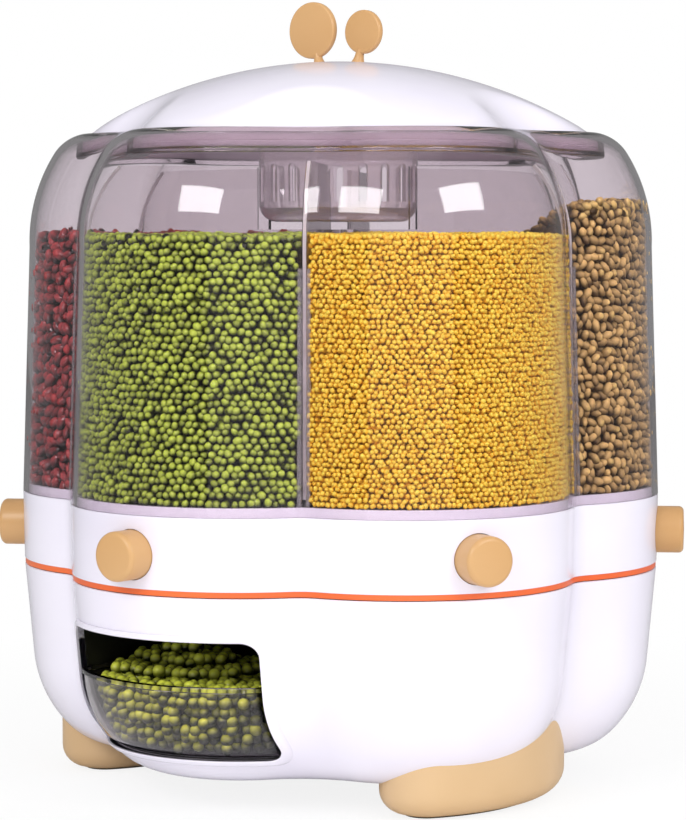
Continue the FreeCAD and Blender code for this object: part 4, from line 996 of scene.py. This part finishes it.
@dataclass
class Lid:
    """The lid: clear lobed frame, seal, white dome and two antennae."""

    top: float = 290.4
    frame_r: float = 117.2
    dome_edge: float = 114.2
    sphere_r: float = 215.0
    dome_top: float = 323.0
    wall: float = 2.2
    skirt_low: float = 284.6
    plate_low: float = 288.4
    blend: float = 3.0
    disc_half: float = 1.6
    stem_r: float = 1.9
    stem_flare: float = 1.5
    stem_in: float = 0.8

    def frame(self) -> None:
        """Make the clear plate with its skirt."""
        r, inner, low, end = self.frame_r, self.frame_r - self.wall, self.plate_low, self.skirt_low
        corners = [(0, low, 0), (60, low, 0), (inner, low, 0.5), (inner, end, 0.4), (r, end, 0.4)]
        corners += [(r, self.top - 1.0, 0.8), (inner, self.top, 0.4), (60, self.top, 0), (0, self.top, 0)]
        patch = PLAN.shell(softened(corners, 4, closed=False), closed=False)
        dress(build("lid_plate", patch, Finish.CLOUDY), "lid", "lid_frame")

    def seal(self) -> None:
        """Make the soft ring under the skirt."""
        r, low, step, high = self.frame_r, 282.2, 284.5, 287.0
        corners = [(r, low, 0.5), (r, step, 0.3), (r - 2.3, step, 0)]
        corners += [(r - 2.3, high, 0.3), (r - 4.4, high, 0.3), (r - 4.4, low, 0.5)]
        piece = build("lid_gasket", PLAN.shell(softened(corners, 3)), Finish.SEAL)
        dress(piece, "lid", "lid_seal")

    def height(self, x: Array, y: Array, sink: float) -> Array:
        """The dome's height: the lesser of a sphere and a lobed slope, blended where they meet.

        Args:
            x, y: Millimetres.
            sink: How far inside the outer surface.

        Returns:
            Z in millimetres.
        """
        round_z = self.dome_top - self.sphere_r + np.sqrt((self.sphere_r - sink) ** 2 - x**2 - y**2)
        slope_z = self.top + self.dome_edge - sink * math.sqrt(2) - PLAN.tip_r(x, y)
        gap = np.clip(0.5 + (round_z - slope_z) / (2 * self.blend), 0, 1)
        return round_z * (1 - gap) + slope_z * gap - self.blend * gap * (1 - gap)

    def dome(self) -> None:
        """Make the white dome with its inner side."""
        rows = []
        for sink, shares in ((0.0, np.linspace(0, 1, 48) ** 0.8), (self.wall, np.linspace(1, 0, 24))):
            x, y = PLAN.at(np.array(self.dome_edge - sink * math.sqrt(2)), PLAN.stations())
            x, y = x * shares[:, None], y * shares[:, None]
            rows.append(np.stack([x, y, np.maximum(self.height(x, y, sink), self.top)], -1))
        piece = build("dome", weave(np.concatenate(rows), wrap_columns=True), Finish.DOME, 40)
        dress(piece, "lid", "lid_dome")

    def antenna(self, side: str, node: str, x: float, lean: float, r: float, disc_z: float) -> None:
        """Make a flat disc with a soft edge on a short stem with a flared foot.

        Args:
            side: Which antenna it is.
            node: The CAD node that it stands for.
            x: Where it stands on the dome.
            lean: Degrees towards +X.
            r: The disc's radius.
            disc_z: The height of the disc's centre before it leans.
        """
        foot = float(self.height(np.array(x), np.array(0.0), 0.0))
        half = self.disc_half
        disc = softened([(0, -half, 0), (r, -half, 0.9), (r, half, 0.9), (0, half, 0)], 6, closed=False)
        disc = moved(lathe(disc, 72), Euler((math.pi / 2, 0, 0)), (0, 0, disc_z - foot))
        stem_top = disc_z - foot - r + 2.0
        q = np.linspace(0, 1, 14)
        sunk = self.stem_in
        stem = np.stack([self.stem_r + self.stem_flare * (1 - q) ** 3, -sunk + (stem_top + sunk) * q], 1)
        stem = np.concatenate([[[0, -sunk]], stem, [[0, stem_top]]])
        whole = moved(disc + lathe(stem, 32), Euler((0, math.radians(lean), 0)), (x, 0, foot))
        dress(build("antenna_" + side, whole, Finish.TAN), "lid", node)

    def make(self) -> None:
        """Make the lid."""
        self.frame()
        self.seal()
        self.dome()
        self.antenna("left", "antenna_large", -11.0, -13.0, 12.8, 338.2)
        self.antenna("right", "antenna_small", 11.0, 13.0, 9.8, 336.4)


@dataclass
class Cup:
    """The clear measuring cup."""

    half: float = 49.0
    back: float = 60.0
    low: float = 25.6
    high: float = 58.0
    wall: float = 2.0
    front_r: float = 12.0
    back_r: float = 6.0
    gap: float = 0.3

    def ring(self, inset: float, z: float) -> Array:
        """The cup's outline at a height: flat back and sides, the bowl's curve in front.

        Args:
            inset: How far inside the outer outline.
            z: Height in millimetres.

        Returns:
            Shape (n, 3), closed.
        """
        half, back = self.half - inset, self.back + inset
        radius = float(-bowl_y(np.array(0.0), np.array(z))) - PLAN.offset - self.gap - inset
        fr, br = max(self.front_r - inset, 0.5), max(self.back_r - inset, 0.5)
        cx = half - fr
        cy = -PLAN.offset - math.sqrt((radius - fr) ** 2 - cx**2)
        tilt = math.atan2(cy + PLAN.offset, cx)
        front = arc((0, -PLAN.offset), radius, -math.pi - tilt, tilt, 40)
        right = arc((cx, cy), fr, tilt, 0, 12)
        rear = arc((half - br, -back - br), br, 0, math.pi / 2, 12)
        left = np.concatenate([right, rear])[::-1] * [-1, 1]
        return np.insert(np.concatenate([front[1:-1], right, rear, left]), 2, z, axis=1)

    def make(self) -> None:
        """Make the cup as one closed shell with a bead at its rim."""
        low, high, sides = self.low, self.high, np.linspace(34, self.high - 2.6, 8)
        section = [(4.2, low), (2.6, low + 0.4), (1.1, low + 1.6), (0.3, low + 3.2)]
        section += [(0.0, z) for z in sides]
        section += [(-0.7, high - 2.0), (-0.8, high - 1.2), (-0.6, high - 0.3), (0.1, high), (1.4, high)]
        section += [(2.0, high - 0.6), *((self.wall, z) for z in sides[::-1])]
        section += [(2.3, low + 3.6), (3.2, low + 2.3), (5.0, low + 2.0)]
        rows = np.array([self.ring(float(inset), float(z)) for inset, z in section])
        ends = rows[[0, -1]] * [0, 0, 1] + [0, -100.0, 0]
        patch = weave(np.concatenate([ends[:1], rows, ends[1:]]), wrap_columns=True)
        dress(build("cup", patch, Finish.CLEAR), "cup", "measuring_cup")


# Grain


@dataclass(frozen=True)
class Seed:
    """One kind of grain: an ellipsoid of few faces, bent a little for a bean.

    Attributes:
        size: Length, width and thickness in millimetres.
        pitch: Spacing of neighbours in a layer.
        sides: Faces round the seed.
        rings: Bands along it.
        bend: Sideways bow, as a share of the length.
    """

    size: tuple[float, float, float]
    pitch: float
    sides: int
    rings: int
    bend: float = 0.0

    def patch(self) -> Patch:
        """The seed about the origin, long along X: x = cos v, y and z = sin v on an ellipse.

        Returns:
            The closed patch.
        """
        v = np.linspace(0, math.pi, self.rings + 1)[:, None]
        u = np.linspace(0, TURN, self.sides, endpoint=False)[None]
        x = np.cos(v) + 0 * u
        y = np.sin(v) * np.cos(u) + self.bend * (1 - 2 * x**2)
        points = np.stack([x, y, np.sin(v) * np.sin(u)], -1) * np.array(self.size) / 2
        return welded(weave(points, wrap_columns=True))


def unit(vectors: Array) -> Array:
    """The vectors at length 1."""
    return vectors / np.linalg.norm(vectors, axis=1, keepdims=True)


def scattered(
    seed: Seed, centres: Array, normals: Array, light: Array, rng: Random, tilt: float = 0.5
) -> tuple[Patch, Array]:
    """Copies of a seed at random turns, lying mostly flat against a surface.

    Args:
        seed: The seed.
        centres: Shape (n, 3).
        normals: The surface's outward normals there, shape (n, 3).
        light: Painted light level of each seed, lower for those deeper in, shape (n,).
        rng: Random numbers.
        tilt: Spread of the tilt off the surface, in radians.

    Returns:
        The patch, and per point a random tone with painted shade and a painted highlight.
    """
    one = seed.patch()
    count = len(centres)
    lean = unit(normals + rng.normal(0, tilt, (count, 3)))
    along = unit(np.cross(lean, rng.normal(0, 1, (count, 3))))
    across = np.cross(lean, along)
    axes = np.stack([along, across, lean], 1) * rng.normal(1, 0.06, (count, 1, 1))
    offsets = np.einsum("pi,nij->npj", one.points, axes)
    # Painted light: tone rises towards the cap that faces outwards and up, a painted highlight, and falls
    # as painted shade to the hidden side.
    toward = unit(normals + [0.0, 0.0, 0.6])
    height = np.einsum("npi,ni->np", offsets, toward) / (np.mean(seed.size) / 2)
    # Seeds sunk deeper are painted darker, as shade.
    sunk = np.abs(rng.normal(0, 0.16, (count, 1)))
    own_tone_and_sunk_shade = rng.normal(0, 0.14, (count, 1)) - 0.5 * sunk
    tone_and_shade = light[:, None] * np.clip(0.16 + 0.9 * height, 0.06, 1) ** 1.6 + own_tone_and_sunk_shade
    faces = one.faces[None] + (np.arange(count) * len(one.points))[:, None, None]
    points = offsets + (centres - normals * sunk * seed.size[2])[:, None]
    return Patch(points.reshape(-1, 3), faces.reshape(-1, 4)), np.clip(tone_and_shade, 0, 1).ravel()


def pour(name: str, grains: tuple[Patch, Array], finish: Finish, body: str = "carousel") -> None:
    """Make an object of many seeds.

    Args:
        name: The piece's name.
        grains: The patch, and per point a tone with painted shade and a painted highlight.
        finish: The seeds' skin.
        body: The body that carries them.
    """
    made = build(name, grains[0], finish, 180.0, weld=False)
    layer = made.data.attributes.new("tone_and_shade", "FLOAT", "POINT")
    layer.data.foreach_set("value", grains[1].astype(np.float32))
    dress(made, body)


def staggered(width: float, height: float, pitch: float, rng: Random) -> Array:
    """A jittered triangular lattice over a rectangle.

    Args:
        width: Extent of the first coordinate, from 0.
        height: Extent of the second, from 0.
        pitch: Spacing.
        rng: Random numbers.

    Returns:
        Shape (n, 2).
    """
    row = pitch * math.sqrt(3) / 2
    i, j = np.meshgrid(np.arange(int(height / row) + 1), np.arange(int(width / pitch) + 1), indexing="ij")
    spots = np.stack([(j + 0.5 * (i % 2)) * pitch, i * row], -1).reshape(-1, 2)
    return spots + rng.uniform(-0.22, 0.22, spots.shape) * pitch


@dataclass
class Filling:
    """The grain of one compartment: layers against the clear wall and on top, round a core.

    Attributes:
        lobe: The compartment, 0 in front.
        name: The grain's name.
        seed: Its shape.
        finish: Its skin.
        top: Height of its surface.
        heap: How much higher it stands near the bell.
    """

    lobe: int
    name: str
    seed: Seed
    finish: Finish
    top: float = 246.0
    heap: float = 0.0
    layers: int = 2
    bottom: float = 134.6
    panel: float = 1.2
    wall: float = 2.6
    hub: float = 11.0
    around: float = 140.0  # tip radius along which the lattice is measured
    waves: tuple[float, float] = (11.0, 9.0)
    heap_r: float = 128.0
    heap_w: float = 26.0

    @property
    def middle(self) -> float:
        """The direction of the compartment's middle."""
        return PLAN.front + 2 * PLAN.half * self.lobe

    def surface(self, x: Array, y: Array) -> Array:
        """The grain's height: level, with gentle waves and a heap."""
        wave = np.sin(x / self.waves[0] + self.lobe) * np.cos(y / self.waves[1])
        return self.top + wave + self.heap * np.exp(-(((np.hypot(x, y) - self.heap_r) / self.heap_w) ** 2))

    def clear(self, x: Array, y: Array) -> Array:
        """Where a seed stays inside its compartment, off its two panels.

        Args:
            x, y: Millimetres.

        Returns:
            True where it does.
        """
        turn = (np.arctan2(y, x) - self.middle + math.pi) % TURN - math.pi
        gap = np.hypot(x, y) * np.sin(PLAN.half - np.abs(turn))
        return (gap > self.panel + self.seed.size[2] / 2) & (np.abs(turn) < PLAN.half)

    def side(self, rng: Random, depth: float) -> tuple[Array, Array]:
        """One layer against the clear wall, on a lattice along the outline and the height.

        Args:
            rng: Random numbers.
            depth: How far inside the wall.

        Returns:
            Centres and normals.
        """
        fine = np.linspace(-0.5, 0.5, 400) + self.lobe
        x, y = PLAN.at(np.array(self.around), fine)
        along = np.concatenate([[0], np.cumsum(np.hypot(np.diff(x), np.diff(y)))])
        spots = staggered(along[-1], self.top + self.heap + 4 - self.bottom, self.seed.pitch, rng)
        station = np.interp(spots[:, 0], along, fine)
        z = self.bottom + spots[:, 1]
        tip = bell_r(z) - self.wall - depth
        px, py = PLAN.at(tip, station)
        qx, qy = PLAN.at(tip + 1.0, station)
        normal = np.stack([qx - px, qy - py, np.zeros_like(px)], 1)
        keep = (z < self.surface(px, py) - 0.3 * self.seed.pitch) & self.clear(px, py)
        return np.stack([px, py, z], 1)[keep], normal[keep]

    def above(self, rng: Random, depth: float) -> tuple[Array, Array]:
        """One layer on top.

        Args:
            rng: Random numbers.
            depth: How far below the surface.

        Returns:
            Centres and normals.
        """
        x, y = (staggered(2 * PLAN.body_r, 2 * PLAN.body_r, self.seed.pitch, rng) - PLAN.body_r).T
        tip = bell_r(self.top) - self.wall - self.seed.size[2] * 0.5
        keep = self.clear(x, y) & (PLAN.tip_r(x, y) < tip) & (np.hypot(x, y) > self.hub + 1)
        centres = np.stack([x, y, self.surface(x, y) - depth], 1)[keep]
        return centres, np.tile([0.0, 0.0, 1.0], (len(centres), 1))

    def core(self, depth: float) -> tuple[Patch, Array]:
        """A plain closed block behind the outer layers, in painted shade: it takes the seeds' darkest
        colour.

        Args:
            depth: How far inside the grain's outside.

        Returns:
            The patch, and its tones of 0, the painted shade colour.
        """
        count = 60
        turn = self.middle + 0.3 * np.linspace(-1, 1, count)
        hub = self.hub * np.stack([np.cos(turn), np.sin(turn)], 1)
        station = np.linspace(-0.485, 0.485, count) + self.lobe
        out = np.stack(PLAN.at(np.array(self.around - self.wall - depth), station), 1)
        rows = []
        for share in (0.0, 0.35, 0.7, 1.0):
            spot = hub * (1 - share) + out * share
            rows.append(np.column_stack([spot, self.surface(*spot.T) - depth]))
        rows += [np.insert(edge, 2, self.bottom - 1, axis=1) for edge in (out, hub)]
        grid = weave(np.array(rows), wrap_rows=True)
        end = np.array([[0, 1, 2, 5], [2, 3, 4, 5]]) * count
        faces = np.concatenate([grid.faces, end, end[:, ::-1] + count - 1])
        # Tone 0 everywhere: the core is painted shade.
        return Patch(grid.points, faces), np.zeros(len(grid.points))

    def make(self) -> None:
        """Make the filling: seeds at the side, seeds on top and the core."""
        rng = np.random.default_rng(SEED + self.lobe)
        thick = self.seed.size[2]
        for part, layer in (("side", self.side), ("top", self.above)):
            spots = []
            for number in range(self.layers):
                centres, normals = layer(rng, thick * (0.5 + 0.75 * number))
                # The deeper layer gets less painted light, as shade.
                spots.append((centres, normals, np.full(len(centres), 1.0 - 0.62 * number)))
            grains = scattered(self.seed, *map(np.concatenate, zip(*spots)), rng)
            pour(f"{self.name}_{part}", grains, self.finish)
        pour(f"{self.name}_core", self.core(thick * (0.4 + 0.75 * self.layers)), self.finish)


@dataclass
class CupBeans:
    """Beans in the measuring cup, heaped towards the back and left."""

    seed: Seed
    cup: Cup
    low: float = 31.5
    top: float = 55.0
    heap: float = 12.0
    peak: tuple[float, float] = (-18.0, -88.0)
    spread: tuple[float, float] = (34.0, 26.0)
    corner_x: float = 33.0
    corner_r: float = 10.0
    layer: float = 0.8  # height between layers, as a share of the pitch

    def make(self) -> None:
        """Make the beans: a jittered lattice kept near the walls and the surface."""
        rng = np.random.default_rng(SEED + 100)
        pitch, wall = self.seed.pitch, self.cup.wall
        levels = []
        for level in range(int(46 / (pitch * self.layer))):
            spots = staggered(90, 80, pitch, rng) + [-45, -140]
            levels.append(np.insert(spots, 2, self.low + level * pitch * self.layer, axis=1))
        points = np.concatenate(levels)
        points = points + rng.normal(0, 0.3, points.shape)
        x, y, z = points.T
        away = (points[:, :2] - self.peak) / self.spread
        surface = self.top + self.heap * np.exp(-(away[:, 0] ** 2) - (away[:, 1] ** 2))
        front = bowl_y(x, np.clip(z, 28, self.cup.high), -self.cup.gap - wall - pitch * 0.55)
        side = self.cup.half - wall - pitch * 0.5 - np.abs(x)
        past, short = np.abs(x) - self.corner_x, front + self.corner_r - y
        corner = np.hypot(np.maximum(past, 0), np.maximum(short, 0)) < self.corner_r - 1
        inside = (z < surface) & (y > front) & (side > 0) & (y < -self.cup.back - wall - pitch * 0.5)
        inside &= corner | (past < 0) | (short < 0)
        inside &= (z > surface - pitch * 2.2) | (y < front + pitch * 2.0) | (side < pitch * 1.6)
        # Painted shade: beans deeper below the surface or behind the front are darker; the normals, front
        # and up, also set the side that is painted lit.
        deep = np.minimum(surface - z, y - front)[inside] / pitch
        normals = np.tile([0.0, -0.6, 0.8], (len(deep), 1))
        grains = scattered(self.seed, points[inside], normals, np.clip(1.1 - 0.45 * deep, 0.2, 1), rng, 2.0)
        pour("beans_in_cup", grains, Finish.CUP_BEAN_PAINTED_LIGHT, "cup")


# Scene


@dataclass
class Studio:
    """Camera, lamps and floor, from the camera fitted to the photograph."""

    focal_px: float = 2826.0
    distance: float = 1286.4
    height: float = 249.0
    pitch: float = 0.065
    azimuth: float = 0.639
    shift_px: float = 4.3
    frame_px: tuple[int, int] = (686, 820)
    lamp_reach: float = 1.5
    lamp_aim: float = 0.15
    back_level: float = 0.9
    front_level: float = 0.3
    gloss_level: float = 0.32

    def camera(self) -> None:
        """Place the camera."""
        data = bpy.data.cameras.new("camera")
        data.sensor_width = 36.0
        data.lens = self.focal_px / self.frame_px[1] * data.sensor_width
        data.shift_x = self.shift_px / self.frame_px[1]
        made = placed("camera", data)
        x, y = self.distance * math.sin(self.azimuth), -self.distance * math.cos(self.azimuth)
        made.location = (x * MM, y * MM, self.height * MM)
        made.rotation_euler = (math.pi / 2 - self.pitch, 0, self.azimuth)
        bpy.context.scene.camera = made

    def lamp(
        self, name: str, turn: float, tilt: float, size: Sequence[float], power: float, mirrored: bool
    ) -> None:
        """A soft lamp that looks at the dispenser.

        Args:
            name: Its name.
            turn: Degrees round from the camera, to the right.
            tilt: Degrees above level.
            size: Width and height in metres.
            power: Watts.
            mirrored: Whether gloss shows it.
        """
        data = bpy.data.lights.new(name, "AREA")
        data.shape, data.size, data.size_y, data.energy = "RECTANGLE", *size, power
        made = placed(name, data)
        a, e = self.azimuth + math.radians(turn), math.radians(tilt)
        level = self.lamp_reach * math.cos(e)
        rise = self.lamp_aim + self.lamp_reach * math.sin(e)
        made.location = (level * math.sin(a), -level * math.cos(a), rise)
        made.rotation_euler = (math.pi / 2 - e, 0, a)
        made.visible_glossy = mirrored

    def straight(self, tree: Tree) -> tuple[Socket, Socket]:
        """Tell rays apart, so that only what is looked at directly turns plain white.

        Args:
            tree: The nodes to add to.

        Returns:
            1 for a ray from the camera through clear plastic only; 1 for a ray that was mirrored.
        """
        path = add(tree, "LightPath")
        rays = {0: path.outputs["Is Camera Ray"], 1: path.outputs["Is Transmission Ray"]}
        seen = add(tree, "Math", {"operation": "MAXIMUM"}, rays)
        mirrored = add(tree, "Math", {"operation": "MINIMUM", 1: 1.0}, {0: path.outputs["Glossy Depth"]})
        plain = add(tree, "Math", {"operation": "SUBTRACT", 0: 1.0}, {1: mirrored})
        both = add(tree, "Math", {"operation": "MULTIPLY"}, {0: seen, 1: plain})
        return both.outputs[0], mirrored.outputs[0]

    def world(self) -> None:
        """A white surrounding that clear plastic shows too; the room behind the camera is dimmer."""
        world = bpy.data.worlds.new("studio")
        bpy.context.scene.world = world
        world.use_nodes = True
        tree = world.node_tree
        tree.nodes.clear()
        seen, mirrored = self.straight(tree)
        place = add(tree, "TexCoord").outputs["Generated"]
        behind = (math.sin(self.azimuth), -math.cos(self.azimuth), 0)
        toward = add(tree, "VectorMath", {"operation": "DOT_PRODUCT", 1: behind}, {0: place})
        span = {"From Min": -1.0, "To Min": self.back_level, "To Max": self.front_level}
        room = add(tree, "MapRange", span, {"Value": toward.outputs["Value"]})
        gloss = add(tree, "MapRange", {"To Min": 1.0, "To Max": self.gloss_level}, {"Value": mirrored})
        dim = add(tree, "Math", {"operation": "MULTIPLY"}, {0: room, 1: gloss})
        level = add(tree, "Mix", {"data_type": "FLOAT", 3: 1.0}, {0: seen, 2: dim})
        light = add(tree, "Background", {"Color": (1, 1, 1, 1)}, {"Strength": level})
        add(tree, "OutputWorld", {}, {"Surface": light})

    def floor(self) -> None:
        """A wide pale floor that fades into the white surrounding."""
        corners = 4000.0 * np.array([[-1, -1, 0], [1, -1, 0], [1, 1, 0], [-1, 1, 0]])
        made = build("floor", Patch(corners, np.array([[0, 1, 2, 3]])), Finish.SHELL)
        material = blank("pale_floor")
        tree = material.node_tree
        seen, _ = self.straight(tree)
        matte = add(tree, "BsdfDiffuse", {"Color": (0.93, 0.93, 0.93, 1)})
        glow = add(tree, "Emission", {"Color": (1, 1, 1, 1), "Strength": 1.0})
        place = add(tree, "TexCoord").outputs["Object"]
        reach = add(tree, "VectorMath", {"operation": "LENGTH"}, {0: place})
        span = {"From Min": 0.15, "From Max": 0.45, "To Min": 0.86, "To Max": 1.0}
        white = add(tree, "MapRange", span, {"Value": reach.outputs["Value"]})
        share = add(tree, "Math", {"operation": "MULTIPLY"}, {0: seen, 1: white})
        both = {0: share, 1: matte, 2: glow}
        add(tree, "OutputMaterial", {}, {"Surface": add(tree, "MixShader", {}, both)})
        made.data.materials[0] = material

    def make(self) -> None:
        """Set the scene."""
        bpy.context.scene.view_settings.view_transform = "Standard"
        self.camera()
        self.world()
        self.floor()
        self.lamp("window_left", -30, 29, (0.7, 0.4), 7.5, True)
        self.lamp("window_right", 42, 29, (0.7, 0.4), 7.5, True)
        self.lamp("fill", 5, 15, (1.6, 1.2), 3.5, False)
        self.lamp("ceiling", 0, 72, (1.2, 1.2), 4.0, False)


SLOT_FINISH = {
    "white_shell": Finish.SHELL,
    "white_inner": Finish.INNER,
    "clear": Finish.CLEAR,
    "tan": Finish.TAN,
    "orange": Finish.ORANGE,
    "dark_liner": Finish.LINER_AS_SHADE,
    "pad_rubber": Finish.PAD,
    "seal_silicone": Finish.SEAL,
    "steel": Finish.STEEL,
}

# Inner clear pieces are thinner and paler than the hopper.
NODE_FINISH = {"divider_star": Finish.PANE, "desiccant_basket": Finish.HAZY}

FILLINGS = (
    Filling(0, "mung", Seed((3.9, 3.5, 3.4), 3.4, 7, 5), Finish.MUNG),
    # Millet is drawn somewhat coarser than its 2 mm, so that single grains show.
    Filling(1, "millet", Seed((2.7, 2.4, 2.3), 2.35, 6, 3), Finish.MILLET),
    Filling(2, "brown", Seed((6.6, 4.3, 3.6), 4.3, 7, 5), Finish.BROWN, 243.0, 18.0),
    Filling(3, "rice", Seed((6.2, 2.2, 2.0), 3.0, 6, 4), Finish.RICE, 240.0),
    Filling(4, "black", Seed((8.4, 5.6, 5.0), 5.6, 9, 6, 0.1), Finish.BLACK_BEAN, 240.0),
    Filling(5, "red", Seed((8.2, 4.9, 4.6), 5.3, 8, 6, 0.12), Finish.RED_BEAN),
)


def finish_nodes() -> None:
    """Give every CAD node its own finish, or that of its slot in the record."""
    for row in frame["record"]["subparts"]:
        finish = NODE_FINISH.get(row["node"], SLOT_FINISH[row["material_slot"]])
        materials = frame["nodes"][row["node"]].data.materials
        materials.clear()
        materials.append(finish.value.material())


def main() -> None:
    """Build the dispenser and its studio."""
    logging.basicConfig(level=logging.INFO, format="%(message)s")
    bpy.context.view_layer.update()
    Studio().make()
    finish_nodes()
    cup = Cup()
    beans = CupBeans(Seed((5.4, 5.0, 5.0), 4.8, 9, 7), cup)
    for part in (Base(), Ring(), Hopper(), PanelEdges(), Lid(), cup, *FILLINGS, beans):
        part.make()


if __name__ == "__main__":
    main()
